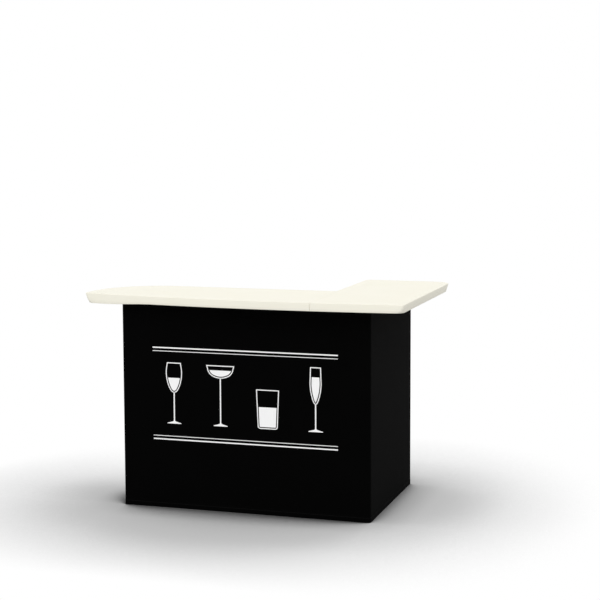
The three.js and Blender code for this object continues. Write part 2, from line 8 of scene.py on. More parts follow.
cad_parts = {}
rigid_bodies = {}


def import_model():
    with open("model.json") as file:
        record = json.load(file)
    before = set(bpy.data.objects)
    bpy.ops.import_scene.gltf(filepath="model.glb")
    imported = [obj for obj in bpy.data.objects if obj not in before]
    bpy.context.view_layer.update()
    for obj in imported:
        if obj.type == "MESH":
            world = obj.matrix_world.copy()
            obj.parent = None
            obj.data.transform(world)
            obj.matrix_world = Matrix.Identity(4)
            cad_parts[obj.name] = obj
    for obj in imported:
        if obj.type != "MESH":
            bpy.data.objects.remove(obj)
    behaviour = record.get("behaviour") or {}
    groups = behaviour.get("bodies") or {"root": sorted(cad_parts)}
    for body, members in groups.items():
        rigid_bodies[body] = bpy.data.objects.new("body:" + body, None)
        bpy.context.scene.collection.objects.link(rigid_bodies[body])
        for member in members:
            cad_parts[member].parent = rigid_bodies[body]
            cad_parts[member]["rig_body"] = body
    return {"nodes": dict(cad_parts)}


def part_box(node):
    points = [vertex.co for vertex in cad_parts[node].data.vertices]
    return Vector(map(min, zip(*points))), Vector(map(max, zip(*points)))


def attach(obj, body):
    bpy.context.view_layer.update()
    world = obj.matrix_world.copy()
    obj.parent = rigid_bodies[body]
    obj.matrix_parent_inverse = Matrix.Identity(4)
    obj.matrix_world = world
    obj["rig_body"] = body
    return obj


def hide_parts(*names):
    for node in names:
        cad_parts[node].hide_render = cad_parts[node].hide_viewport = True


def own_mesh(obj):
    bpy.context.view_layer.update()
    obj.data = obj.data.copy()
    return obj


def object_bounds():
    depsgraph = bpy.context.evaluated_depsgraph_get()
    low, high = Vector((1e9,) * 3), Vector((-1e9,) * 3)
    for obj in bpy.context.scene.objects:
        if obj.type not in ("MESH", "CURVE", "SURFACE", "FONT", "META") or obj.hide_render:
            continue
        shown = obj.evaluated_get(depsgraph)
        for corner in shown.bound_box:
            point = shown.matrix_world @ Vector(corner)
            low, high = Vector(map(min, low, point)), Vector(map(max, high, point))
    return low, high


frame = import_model()
cad_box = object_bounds()

# Camera. It stands in front of the bar and to its right, a little above the counter, and looks
# slightly down. The bar stands low and to the left of the lens axis, which the two shifts give.
CAMERA_PLACE = (2.4026, -6.8021, 1.8667)
CAMERA_YAW = math.radians(15.914)
CAMERA_PITCH = math.radians(5.353)
CAMERA_LENS_MM = 86.58
CAMERA_SHIFT_X = -0.1
CAMERA_SHIFT_Y = -0.0667

scene = bpy.context.scene
camera = bpy.data.objects.new("camera", bpy.data.cameras.new("camera"))
scene.collection.objects.link(camera)
camera.location = CAMERA_PLACE
camera.rotation_euler = (math.pi / 2 - CAMERA_PITCH, 0, CAMERA_YAW)
camera.data.lens = CAMERA_LENS_MM
camera.data.shift_x = CAMERA_SHIFT_X
camera.data.shift_y = CAMERA_SHIFT_Y
scene.camera = camera
scene.view_settings.view_transform = "Standard"

# Rubber feet. Every post stands on a moulded black rubber foot: a square pad with a plug pressed
# into the tube. The mould leaves round arrises, and the sole has a groove round it for grip.
MM = 0.001
UP = Vector((0, 0, 1))
POST_PLACES = sorted(name.removesuffix("_post") for name in frame["nodes"] if name.endswith("_post"))
FOOT_PAD_HEIGHT = 13.7 * MM
FOOT_CORNER = 5 * MM
FOOT_ARRIS = 1.2 * MM
FOOT_PLUG_INSET = 4.3 * MM
TREAD_LAND = 1.2 * MM
TREAD_FLOOR = 1.2 * MM
TREAD_WALL = 0.4 * MM
TREAD_DEPTH = 1.2 * MM
RUBBER_MOTTLE = 7 * MM
RUBBER_GRIT = 0.8 * MM

# Points that are closer than WELD are one point, and ways whose cosine is over SQUARE_ON are one way.
WELD = 0.001 * MM
SQUARE_ON = 0.999

# A Mix node has inputs for every kind of value, and these are the numbers of those for colours.
MIX_SHARE = 0
MIX_FROM = 6
MIX_TO = 7


def linear(colour):
    """An sRGB hex colour as linear RGBA."""
    channels = [int(colour[place : place + 2], 16) / 255 for place in (1, 3, 5)]
    return tuple(c / 12.92 if c <= 0.04045 else ((c + 0.055) / 1.055) ** 2.4 for c in channels) + (1.0,)


def feed(tree, node, inputs):
    """Fills a node's inputs, each from a node (by its first output), an output, a hex colour or a value."""
    for name, value in inputs.items():
        if isinstance(value, bpy.types.Node):
            value = next(output for output in value.outputs if output.enabled)
        if isinstance(value, bpy.types.NodeSocket):
            tree.links.new(value, node.inputs[name])
        else:
            node.inputs[name].default_value = linear(value) if isinstance(value, str) else value


def add_node(tree, kind, inputs, **settings):
    """Adds a node with its settings and what goes into it."""
    node = tree.nodes.new(kind)
    for name, value in settings.items():
        setattr(node, name, value)
    feed(tree, node, inputs)
    return node


def start_material(name):
    """A new material, with its node tree and its surface shader."""
    material = bpy.data.materials.new(name)
    material.use_nodes = True
    return material, material.node_tree, material.node_tree.nodes["Principled BSDF"]


def add_block(bm, low, high):
    """A square block between two corners."""
    block = bmesh.ops.create_cube(bm, size=1)["verts"]
    bmesh.ops.scale(bm, vec=high - low, verts=block)
    bmesh.ops.translate(bm, vec=(low + high) / 2, verts=block)
    bm.normal_update()


def edges_along(bm, way):
    """The edges that run one way."""
    return [e for e in bm.edges if abs((e.verts[1].co - e.verts[0].co).normalized().dot(way)) > SQUARE_ON]


def soften(bm, edges, radius, steps):
    """Rounds edges to a radius, and welds the points that this leaves on top of each other."""
    bmesh.ops.bevel(
        bm,
        geom=edges,
        offset=radius,
        offset_type="OFFSET",
        affect="EDGES",
        segments=steps,
        profile=0.5,
        material=-1,
    )
    bmesh.ops.remove_doubles(bm, verts=bm.verts[:], dist=WELD)
    bm.normal_update()


def face_towards(bm, way):
    """The largest face that looks one way."""
    facing = [face for face in bm.faces if face.normal.dot(way) > SQUARE_ON]
    return max(facing, key=lambda face: face.calc_area())


def add_moulded_block(bm, low, high, corner, arris, corner_steps=4, arris_steps=2):
    """The first block of a mesh, with round upright corners and round arrises above and below."""
    add_block(bm, low, high)
    soften(bm, edges_along(bm, UP), corner, corner_steps)
    soften(bm, [*face_towards(bm, UP).edges, *face_towards(bm, -UP).edges], arris, arris_steps)


def inset(bm, faces, margin, depth=0):
    """Draws faces in by a margin, and raises them by a depth or sinks them by a negative one."""
    drawn_in = bmesh.ops.inset_region(
        bm, faces=faces, thickness=margin, depth=depth, use_even_offset=True, use_boundary=True
    )
    return drawn_in["faces"]


def link_mesh(bm, name, materials):
    """Makes the mesh an object of the scene."""
    mesh = bpy.data.meshes.new(name)
    bm.to_mesh(mesh)
    bm.free()
    for material in materials:
        mesh.materials.append(material)
    made = bpy.data.objects.new(name, mesh)
    scene.collection.objects.link(made)
    return made


def show_piece(bm, name, node, materials, crease_degrees=35):
    """Makes the mesh a piece that stands for a node of the frame and rides on that node's body."""
    bmesh.ops.recalc_face_normals(bm, faces=bm.faces[:])
    piece = link_mesh(bm, name, materials)
    piece.data.shade_smooth()
    piece.data.set_sharp_from_angle(angle=math.radians(crease_degrees))
    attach(piece, frame["nodes"][node]["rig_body"])
    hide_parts(node)
    return piece


# Moulded rubber looks dull and dark, with a faint grey bloom in patches and a fine grit.
moulded_rubber, tree, shader = start_material("moulded_rubber")
place = add_node(tree, "ShaderNodeTexCoord", {}).outputs["Object"]
bloom = add_node(tree, "ShaderNodeTexNoise", {"Vector": place, "Scale": 1 / RUBBER_MOTTLE, "Detail": 3})
tone = add_node(
    tree, "ShaderNodeMix", {MIX_SHARE: bloom, MIX_FROM: "#0c0c0d", MIX_TO: "#1c1c1d"}, data_type="RGBA"
)
grit = add_node(tree, "ShaderNodeTexNoise", {"Vector": place, "Scale": 1 / RUBBER_GRIT, "Detail": 2})
relief = add_node(tree, "ShaderNodeBump", {"Height": grit, "Strength": 0.3, "Distance": 0.1 * MM})
feed(tree, shader, {"Base Color": tone, "Roughness": 0.82, "IOR": 1.52, "Normal": relief})

plug_margin = Vector((FOOT_PLUG_INSET, FOOT_PLUG_INSET, 0))
for post_place in POST_PLACES:
    low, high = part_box(f"{post_place}_foot")
    pad_top = low.z + FOOT_PAD_HEIGHT
    bm = bmesh.new()
    add_moulded_block(bm, low, Vector((high.x, high.y, pad_top)), FOOT_CORNER, FOOT_ARRIS, arris_steps=3)
    sole = face_towards(bm, -UP)
    inset(bm, [sole], TREAD_LAND)
    inset(bm, [sole], TREAD_WALL, -TREAD_DEPTH)
    inset(bm, [sole], TREAD_FLOOR)
    inset(bm, [sole], TREAD_WALL, TREAD_DEPTH)
    add_block(bm, Vector((low.x, low.y, pad_top - FOOT_ARRIS)) + plug_margin, high - plug_margin)
    show_piece(bm, f"{post_place}_rubber_foot", f"{post_place}_foot", [moulded_rubber])

# Posts. They are square tubes of extruded aluminium with small outer radii, anodised satin silver,
# sawn to length and closed by a foot below and a connector above.
POST_CORNER = 2.6 * MM
POST_WALL = 1.6 * MM
GRAIN_WIDTH = 1.6 * MM
GRAIN_LENGTH = 140 * MM
EAST = Vector((1, 0, 0))
NORTH = Vector((0, 1, 0))


def anodised_aluminium(name, way):
    """Satin anodised aluminium, whose die lines run one way.

    It gives soft grey reflections that are drawn out along the bar. Real die lines are about 0.2 mm
    wide, and are drawn several times wider here so that they show.
    """
    material, tree, shader = start_material(name)
    place = add_node(tree, "ShaderNodeTexCoord", {}).outputs["Object"]
    turn = UP.rotation_difference(way).to_euler()
    grain_size = (GRAIN_WIDTH, GRAIN_WIDTH, GRAIN_LENGTH)
    grain = add_node(
        tree,
        "ShaderNodeMapping",
        {"Vector": place, "Rotation": turn, "Scale": grain_size},
        vector_type="TEXTURE",
    )
    lines = add_node(tree, "ShaderNodeTexNoise", {"Vector": grain, "Scale": 1, "Detail": 3})
    tone = add_node(
        tree, "ShaderNodeMix", {MIX_SHARE: lines, MIX_FROM: "#a9acb1", MIX_TO: "#c6c9cc"}, data_type="RGBA"
    )
    gloss = add_node(tree, "ShaderNodeMapRange", {"Value": lines, "To Min": 0.28, "To Max": 0.46})
    relief = add_node(tree, "ShaderNodeBump", {"Height": lines, "Strength": 0.2, "Distance": 0.05 * MM})
    feed(tree, shader, {"Base Color": tone, "Metallic": 1, "Roughness": gloss, "Normal": relief})
    return material


def add_tube(bm, low, high, corner, wall):
    """A square tube that fills the space between two corners, open at both ends."""
    length_way = max((EAST, NORTH, UP), key=(high - low).dot)
    add_block(bm, low, high)
    soften(bm, edges_along(bm, length_way), corner, steps=4)
    ends = [face for face in bm.faces if abs(face.normal.dot(length_way)) > SQUARE_ON]
    bmesh.ops.delete(bm, geom=ends, context="FACES_ONLY")
    bmesh.ops.solidify(bm, geom=bm.faces[:], thickness=wall)


standing_aluminium = anodised_aluminium("anodised_aluminium_standing", UP)
for post_place in POST_PLACES:
    low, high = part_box(f"{post_place}_post")
    bm = bmesh.new()
    add_tube(bm, low, high, POST_CORNER, POST_WALL)
    show_piece(bm, f"{post_place}_post_tube", f"{post_place}_post", [standing_aluminium])

# Connectors. A moulded black nylon cap is plugged into the top of each post and held by pan-head
# screws; its free sides are cored out. Four caps carry a lug with a riveted steel stub for the scissor
# bars, and the four on the tower carry a tapered peg that locates the counter.
CAP_SIZE = 36 * MM
CAP_HEIGHT = 40 * MM
CAP_CORNER = 3.5 * MM
CAP_ARRIS = 1 * MM
CAP_POCKET_MARGIN = 5 * MM
CAP_POCKET_DEPTH = 1.8 * MM
CAP_POCKET_DRAFT = 0.6 * MM
CAP_PLUG_INSET = 5.2 * MM
TOP_RAIL_DEPTH = 10 * MM
CAP_DECK_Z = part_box("left_back_connector")[1].z
PEG_RADIUS = 9 * MM
PEG_TIP_RADIUS = 7 * MM
PEG_CHAMFER = 1.5 * MM
PIVOT_OFFSET = 34 * MM
PIVOT_Z = 978 * MM
LUG_RADIUS = 11 * MM
LUG_THICKNESS = 3 * MM
LUG_ROOT = 10 * MM
LUG_ARRIS = 0.6 * MM
PIN_RADIUS = 4 * MM
PIN_HEAD_RADIUS = 8 * MM
PIN_HEAD_HEIGHT = 2.5 * MM
CLINCH_RADIUS = 5.6 * MM
CLINCH_HEIGHT = 1.25 * MM
SCREW_RADIUS = 4.2 * MM
SCREW_HEIGHT = 2 * MM
NYLON_FLOW = 26 * MM
NYLON_GRAIN = 1.2 * MM
ZINC_BLUSH = 9 * MM
RAILS = sorted(name for name in frame["nodes"] if name.endswith("_rail"))

# The bars of a wing lie on either side of its middle plane, between these distances from it.
BAR_NEAR = 2.5 * MM
BAR_FAR = 12.5 * MM

# The way from each of these posts to its lug, and the way that the lug's stub points.
HUB_WAYS = {
    "tower_front_left": (-EAST, -NORTH),
    "left_front": (EAST, NORTH),
    "tower_back_right": (NORTH, -EAST),
    "wing_outer": (-NORTH, EAST),
}

# Each point of a domed head, as shares of its radius and of its height.
DOME = ((1, 0), (1, 0.35), (0.86, 0.72), (0.5, 0.95), (0, 1))

# Glass-filled nylon is matt black with a moulded grain, and the fibres show as faint grey flow marks.
glass_filled_nylon, tree, shader = start_material("glass_filled_nylon")
place = add_node(tree, "ShaderNodeTexCoord", {}).outputs["Object"]
flow = add_node(
    tree,
    "ShaderNodeTexNoise",
    {"Vector": place, "Scale": 1 / NYLON_FLOW, "Detail": 4, "Distortion": 1.5},
)
tone = add_node(
    tree, "ShaderNodeMix", {MIX_SHARE: flow, MIX_FROM: "#121314", MIX_TO: "#212325"}, data_type="RGBA"
)
grain = add_node(tree, "ShaderNodeTexNoise", {"Vector": place, "Scale": 1 / NYLON_GRAIN, "Detail": 2})
gloss = add_node(tree, "ShaderNodeMapRange", {"Value": grain, "To Min": 0.42, "To Max": 0.62})
relief = add_node(tree, "ShaderNodeBump", {"Height": grain, "Strength": 0.25, "Distance": 0.08 * MM})
feed(tree, shader, {"Base Color": tone, "Roughness": gloss, "IOR": 1.53, "Normal": relief})

# Zinc-plated steel is a bright grey metal with a faint straw blush from its passivation.
zinc_plated_steel, tree, shader = start_material("zinc_plated_steel")
place = add_node(tree, "ShaderNodeTexCoord", {}).outputs["Object"]
blush = add_node(tree, "ShaderNodeTexNoise", {"Vector": place, "Scale": 1 / ZINC_BLUSH, "Detail": 3})
tone = add_node(
    tree, "ShaderNodeMix", {MIX_SHARE: blush, MIX_FROM: "#a4a8ad", MIX_TO: "#bab5a6"}, data_type="RGBA"
)
gloss = add_node(tree, "ShaderNodeMapRange", {"Value": blush, "To Min": 0.22, "To Max": 0.38})
feed(tree, shader, {"Base Color": tone, "Metallic": 1, "Roughness": gloss})

fitting_materials = [glass_filled_nylon, zinc_plated_steel]


def post_axis(post_place, z):
    """The point on a post's axis at one height."""
    low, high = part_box(f"{post_place}_post")
    return Vector(((low.x + high.x) / 2, (low.y + high.y) / 2, z))


def add_turned(bm, profile, place, way, material=0, steps=24):
    """A turned piece: its profile gives (radius, distance) along its axis, which leaves a place one way."""
    known = set(bm.verts)
    points = [bm.verts.new((radius, 0, distance)) for radius, distance in profile]
    edges = [bm.edges.new(pair) for pair in zip(points, points[1:])]
    bmesh.ops.spin(
        bm, geom=points + edges, axis=UP, cent=(0, 0, 0), angle=2 * math.pi, steps=steps, use_merge=True
    )
    bmesh.ops.remove_doubles(bm, verts=[vert for vert in bm.verts if vert not in known], dist=WELD)
    turned = [vert for vert in bm.verts if vert not in known]
    aim = UP.rotation_difference(way).to_matrix().to_4x4()
    bmesh.ops.transform(bm, matrix=Matrix.Translation(place) @ aim, verts=turned)
    for face in {face for vert in turned for face in vert.link_faces}:
        face.material_index = material


def domed_head(radius, start, height):
    """The profile of a domed head that rises from a start along its axis."""
    return [(radius * across, start + height * along) for across, along in DOME]


def add_flat_bar(bm, start, end, across, radius, thickness, arris):
    """A flat bar with round ends about two pivots; across is the way of its thickness."""
    known = set(bm.verts)
    sides = 32
    rim = bmesh.ops.create_circle(bm, cap_ends=True, radius=radius, segments=sides)["verts"]
    bmesh.ops.rotate(bm, cent=(0, 0, 0), matrix=Matrix.Rotation(math.pi / sides, 3, "Z"), verts=rim)
    bmesh.ops.translate(bm, vec=EAST * (end - start).length, verts=[vert for vert in rim if vert.co.x > 0])
    plate = bmesh.ops.extrude_face_region(bm, geom=rim[0].link_faces[:])["geom"]
    raised = [item for item in plate if isinstance(item, bmesh.types.BMVert)]
    bmesh.ops.translate(bm, vec=UP * thickness, verts=raised)
    made = [vert for vert in bm.verts if vert not in known]
    rims = {edge for vert in made for edge in vert.link_edges if edge.verts[0].co.z == edge.verts[1].co.z}
    soften(bm, [edge for edge in bm.edges if edge in rims], arris, steps=2)
    made = [vert for vert in bm.verts if vert not in known]
    length_way = (end - start).normalized()
    axes = Matrix((length_way, across.cross(length_way), across)).transposed().to_4x4()
    middle = Matrix.Translation(start - across * thickness / 2)
    bmesh.ops.transform(bm, matrix=middle @ axes, verts=made)


def add_pivot(bm, centre, lug_way, pin_way):
    """A lug that stands out from a fitting's centre line, with its stub pin as the second material."""
    pivot = centre + lug_way * PIVOT_OFFSET
    add_flat_bar(bm, centre + lug_way * LUG_ROOT, pivot, pin_way, LUG_RADIUS, LUG_THICKNESS, LUG_ARRIS)
    stub = [(0, 0), (PIN_RADIUS, 0), (PIN_RADIUS, BAR_FAR)]
    head = domed_head(PIN_HEAD_RADIUS, BAR_FAR, PIN_HEAD_HEIGHT)
    add_turned(bm, stub + head, pivot, pin_way, material=1)
    clinch = domed_head(CLINCH_RADIUS, LUG_THICKNESS / 2, CLINCH_HEIGHT)
    add_turned(bm, [(0, 0), (CLINCH_RADIUS, 0)] + clinch, pivot, -pin_way, material=1)


def meets_a_rail(point):
    """Whether one of the rails passes through a point."""
    boxes = [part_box(rail) for rail in RAILS]
    return any(all(low[axis] <= point[axis] <= high[axis] for axis in range(3)) for low, high in boxes)


cap_half = Vector((CAP_SIZE, CAP_SIZE, 0)) / 2
plug_half = cap_half - Vector((CAP_PLUG_INSET, CAP_PLUG_INSET, 0))
screw = [(0, -SCREW_HEIGHT), (SCREW_RADIUS, -SCREW_HEIGHT), *domed_head(SCREW_RADIUS, 0, SCREW_HEIGHT)]
for post_place in POST_PLACES:
    node_low, node_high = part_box(f"{post_place}_connector")
    cap_low = post_axis(post_place, CAP_DECK_Z - CAP_HEIGHT)
    cap_high = post_axis(post_place, CAP_DECK_Z)
    lug_way, pin_way = HUB_WAYS.get(post_place, (None, None))
    bm = bmesh.new()
    add_moulded_block(bm, cap_low - cap_half, cap_high + cap_half, CAP_CORNER, CAP_ARRIS)
    for way in (EAST, -EAST, NORTH, -NORTH):
        beside = cap_high + way * CAP_SIZE - UP * TOP_RAIL_DEPTH
        if way == lug_way or meets_a_rail(beside):
            continue
        pocket = face_towards(bm, way)
        inset(bm, [pocket], CAP_POCKET_MARGIN)
        inset(bm, [pocket], CAP_POCKET_DRAFT, -CAP_POCKET_DEPTH)
        screw_seat = (cap_low + cap_high) / 2 + way * (CAP_SIZE / 2 - CAP_POCKET_DEPTH)
        add_turned(bm, screw, screw_seat, way, material=1, steps=16)
    add_block(bm, post_axis(post_place, node_low.z) - plug_half, cap_low + UP * CAP_ARRIS + plug_half)
    if post_place.startswith("tower"):
        peg_height = node_high.z - CAP_DECK_Z
        peg = [
            (0, -CAP_ARRIS),
            (PEG_RADIUS, -CAP_ARRIS),
            (PEG_TIP_RADIUS, peg_height - PEG_CHAMFER),
            (PEG_TIP_RADIUS - PEG_CHAMFER, peg_height),
            (0, peg_height),
        ]
        add_turned(bm, peg, cap_high, UP)
    if lug_way:
        add_pivot(bm, post_axis(post_place, PIVOT_Z), lug_way, pin_way)
    show_piece(bm, f"{post_place}_cap", f"{post_place}_connector", fitting_materials)

# Rails. Smaller square tubes of the same aluminium tie the posts together at the top, near the floor
# and under the shelf. Their ends are cut square and butt against the connectors and the posts.
RAIL_CORNER = 2 * MM
RAIL_WALL = 1.5 * MM

east_aluminium = anodised_aluminium("anodised_aluminium_east", EAST)
north_aluminium = anodised_aluminium("anodised_aluminium_north", NORTH)
for rail in RAILS:
    low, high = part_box(rail)
    bm = bmesh.new()
    add_tube(bm, low, high, RAIL_CORNER, RAIL_WALL)
    along_east = high.x - low.x > high.y - low.y
    rail_aluminium = east_aluminium if along_east else north_aluminium
    show_piece(bm, f"{rail}_tube", rail, [rail_aluminium])

# Sliders. A nylon sleeve slides on each scissor post and carries the sliding pivot of the bars on a
# lug. It is drawn in at the waist, and the sleeves on the two end frames have a boss for the lock knob.
SLEEVE_SIZE = 40 * MM
SLEEVE_CORNER = 5 * MM
SLEEVE_WALL = 4.5 * MM
SLEEVE_COLLAR = 6 * MM
SLEEVE_STEP = 0.4 * MM
SLEEVE_WAIST = 1.2 * MM
SLEEVE_ARRIS = 1 * MM
BOSS_RADIUS = 9 * MM
BOSS_LENGTH = 10 * MM
BOSS_CHAMFER = 1 * MM
BOSS_ROOT = SLEEVE_SIZE / 2 - 2 * SLEEVE_WAIST
BOSS_END = SLEEVE_SIZE / 2 + BOSS_LENGTH

# Each slider's post, and the ways of its lug, of the lug's stub and of its boss.
SLIDERS = {
    "tower_front_slider": ("tower_front_left", -EAST, NORTH, None),
    "left_slider": ("left_front", EAST, -NORTH, NORTH),
    "tower_side_slider": ("tower_back_right", NORTH, EAST, None),
    "wing_slider": ("wing_outer", -NORTH, -EAST, -EAST),
}

boss = [
    (0, BOSS_ROOT),
    (BOSS_RADIUS, BOSS_ROOT),
    (BOSS_RADIUS, BOSS_END - BOSS_CHAMFER),
    (BOSS_RADIUS - BOSS_CHAMFER, BOSS_END),
    (0, BOSS_END),
]
for slider, (post_place, lug_way, pin_way, boss_way) in SLIDERS.items():
    low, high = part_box(slider)
    centre = post_axis(post_place, (low.z + high.z) / 2)
    half = Vector((SLEEVE_SIZE, SLEEVE_SIZE, high.z - low.z)) / 2
    bm = bmesh.new()
    add_moulded_block(bm, centre - half, centre + half, SLEEVE_CORNER, SLEEVE_ARRIS, corner_steps=5)
    waist = [face for face in bm.faces if abs(face.normal.z) < 1 - SQUARE_ON]
    inset(bm, waist, SLEEVE_COLLAR)
    inset(bm, waist, SLEEVE_STEP, -SLEEVE_WAIST)
    ends = [face_towards(bm, UP), face_towards(bm, -UP)]
    for end in ends:
        inset(bm, [end], SLEEVE_WALL - SLEEVE_ARRIS)
    bore = [*ends[0].edges, *ends[1].edges]
    bmesh.ops.delete(bm, geom=ends, context="FACES_ONLY")
    bmesh.ops.bridge_loops(bm, edges=bore)
    add_pivot(bm, centre, lug_way, pin_way)
    if boss_way:
        add_turned(bm, boss, centre, boss_way)
    show_piece(bm, f"{slider}_sleeve", slider, fitting_materials)

# Lock knobs. A round nylon head with finger flutes pulls a sprung steel plunger out of the post, so
# that the slider can run and the wing can fold.
KNOB_RADIUS = 11 * MM
KNOB_LENGTH = 11 * MM
KNOB_GAP = 0.3 * MM
KNOB_CROWN = 2 * MM
KNOB_LOW = BOSS_END + KNOB_GAP
KNOB_HIGH = KNOB_LOW + KNOB_LENGTH
KNOB_FLUTES = 12
KNOB_FLUTE_STEPS = 8
KNOB_FLUTE_DEPTH = 0.9 * MM
PLUNGER_RADIUS = 4.2 * MM
PLUNGER_NOSE = 15.8 * MM

knob_head = [
    (0, KNOB_LOW),
    (KNOB_RADIUS - KNOB_CROWN, KNOB_LOW),
    (KNOB_RADIUS, KNOB_LOW + KNOB_CROWN),
    (KNOB_RADIUS, KNOB_HIGH - KNOB_CROWN),
    (KNOB_RADIUS - KNOB_CROWN / 3, KNOB_HIGH - KNOB_CROWN / 3),
    (KNOB_RADIUS - KNOB_CROWN, KNOB_HIGH),
    (0, KNOB_HIGH),
]
plunger = [(0, PLUNGER_NOSE), (PLUNGER_RADIUS, PLUNGER_NOSE), (PLUNGER_RADIUS, KNOB_LOW), (0, KNOB_LOW)]
for knob, slider in (("left_lock_knob", "left_slider"), ("wing_lock_knob", "wing_slider")):
    post_place, _, _, pull_way = SLIDERS[slider]
    low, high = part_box(knob)
    centre = post_axis(post_place, (low.z + high.z) / 2)
    bm = bmesh.new()
    add_turned(bm, knob_head, Vector((0, 0, 0)), UP, steps=KNOB_FLUTE_STEPS * KNOB_FLUTES)
    for vert in bm.verts:
        flute = 0.5 - 0.5 * math.cos(KNOB_FLUTES * math.atan2(vert.co.y, vert.co.x))
        if vert.co.xy.length > KNOB_RADIUS - KNOB_CROWN / 2:
            vert.co.xy -= vert.co.xy.normalized() * KNOB_FLUTE_DEPTH * flute
    aim = UP.rotation_difference(pull_way).to_matrix().to_4x4()
    bmesh.ops.transform(bm, matrix=Matrix.Translation(centre) @ aim, verts=bm.verts[:])
    add_turned(bm, plunger, centre, pull_way, material=1)
    show_piece(bm, f"{knob}_head", knob, fitting_materials)

# Scissor bars. Flat aluminium bars with round ends cross in pairs and turn on a clinched rivet in the
# middle of each pair, which stays in the falling bar. From the tower outwards, one bar of each pair
# falls and the other rises.
BAR_RADIUS = 11 * MM
BAR_THICKNESS = 10 * MM
BAR_ARRIS = 1.4 * MM
BAR_MIDDLE = (BAR_NEAR + BAR_FAR) / 2
RIVET_LENGTH = BAR_MIDDLE + BAR_FAR
SCISSOR_POSTS = {
    "front_near": "tower_front_left",
    "front_far": "tower_front_left",
    "side": "tower_back_right",
}

rivet = [(0, 0), (PIN_RADIUS, 0), (PIN_RADIUS, RIVET_LENGTH)]
rivet += domed_head(PIN_HEAD_RADIUS, RIVET_LENGTH, PIN_HEAD_HEIGHT)
near_head = [(0, 0), (PIN_HEAD_RADIUS, 0), *domed_head(PIN_HEAD_RADIUS, BAR_THICKNESS / 2, PIN_HEAD_HEIGHT)]
for pair, post_place in SCISSOR_POSTS.items():
    run_way, falling_side = HUB_WAYS[post_place]
    low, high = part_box(f"{pair}_rising_bar")
    half_run = run_way * (abs((high - low).dot(run_way)) / 2 - BAR_RADIUS)
    half_rise = UP * ((high.z - low.z) / 2 - BAR_RADIUS)
    crossing = (low + high) / 2
    crossing += falling_side * (post_axis(post_place, 0) - crossing).dot(falling_side)
    for kind, side, lean in (("falling", falling_side, -1), ("rising", -falling_side, 1)):
        centre = crossing + side * BAR_MIDDLE
        half_bar = half_rise + half_run * lean
        bar_aluminium = anodised_aluminium(f"anodised_aluminium_{pair}_{kind}", half_bar)
        bar_materials = [bar_aluminium, zinc_plated_steel]
        bm = bmesh.new()
        add_flat_bar(bm, centre - half_bar, centre + half_bar, side, BAR_RADIUS, BAR_THICKNESS, BAR_ARRIS)
        if kind == "falling":
            add_turned(bm, rivet, centre, -side, material=1)
            add_turned(bm, near_head, centre, side, material=1)
        show_piece(bm, f"{pair}_{kind}_flat", f"{pair}_{kind}_bar", bar_materials)

# Pins. Two zinc-plated pins join the near pair of bars to the far pair, one above and one below. Each
# has a domed head at either end and a collar that keeps the bars apart.
COLLAR_HALF = 2.2 * MM

half_pin = [
    (PIN_HEAD_RADIUS, 0),
    (PIN_HEAD_RADIUS, COLLAR_HALF),
    (PIN_RADIUS, COLLAR_HALF),
    (PIN_RADIUS, BAR_FAR),
    *domed_head(PIN_HEAD_RADIUS, BAR_FAR, PIN_HEAD_HEIGHT),
]
for pin in ("front_upper_pin", "front_lower_pin"):
    low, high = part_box(pin)
    bm = bmesh.new()
    for way in (NORTH, -NORTH):
        add_turned(bm, half_pin, (low + high) / 2, way)
    bmesh.ops.remove_doubles(bm, verts=bm.verts[:], dist=WELD)
    show_piece(bm, f"{pin}_turned", pin, [zinc_plated_steel])

# Shelf. A moulded cream polyethylene tray lies loose on the two shelf rails of the corner tower. It
# has a low rim round the top and is hollow underneath.
SHELF_CORNER = 12 * MM
SHELF_ARRIS = 1.4 * MM
SHELF_RIM = 7 * MM
SHELF_RECESS = 2 * MM
SHELF_HOLLOW = 5 * MM
SHELF_DRAFT = 1.5 * MM
CREAM_CLOUD = 160 * MM
CREAM_PEEL = 5 * MM

# Moulded polyethylene is waxy and cream, a little uneven in tone, with a fine orange peel that
# breaks up its soft shine.
moulded_polyethylene, tree, shader = start_material("moulded_polyethylene")
place = add_node(tree, "ShaderNodeTexCoord", {}).outputs["Object"]
cloud = add_node(tree, "ShaderNodeTexNoise", {"Vector": place, "Scale": 1 / CREAM_CLOUD, "Detail": 3})
tone = add_node(
    tree, "ShaderNodeMix", {MIX_SHARE: cloud, MIX_FROM: "#f7f4e4", MIX_TO: "#faf7ea"}, data_type="RGBA"
)
peel = add_node(tree, "ShaderNodeTexNoise", {"Vector": place, "Scale": 1 / CREAM_PEEL, "Detail": 2})
gloss = add_node(tree, "ShaderNodeMapRange", {"Value": peel, "To Min": 0.42, "To Max": 0.56})
relief = add_node(tree, "ShaderNodeBump", {"Height": peel, "Strength": 0.12, "Distance": 0.2 * MM})
feed(
    tree,
    shader,
    {"Base Color": tone, "Roughness": gloss, "IOR": 1.5, "Specular IOR Level": 0.15, "Normal": relief},
)

low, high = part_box("corner_shelf")
bm = bmesh.new()
add_moulded_block(bm, low, high, SHELF_CORNER, SHELF_ARRIS, corner_steps=5, arris_steps=3)
for way, depth in ((UP, SHELF_RECESS), (-UP, SHELF_HOLLOW)):
    tray = face_towards(bm, way)
    inset(bm, [tray], SHELF_RIM)
    inset(bm, [tray], SHELF_DRAFT, -depth)
show_piece(bm, "corner_shelf_tray", "corner_shelf", [moulded_polyethylene])

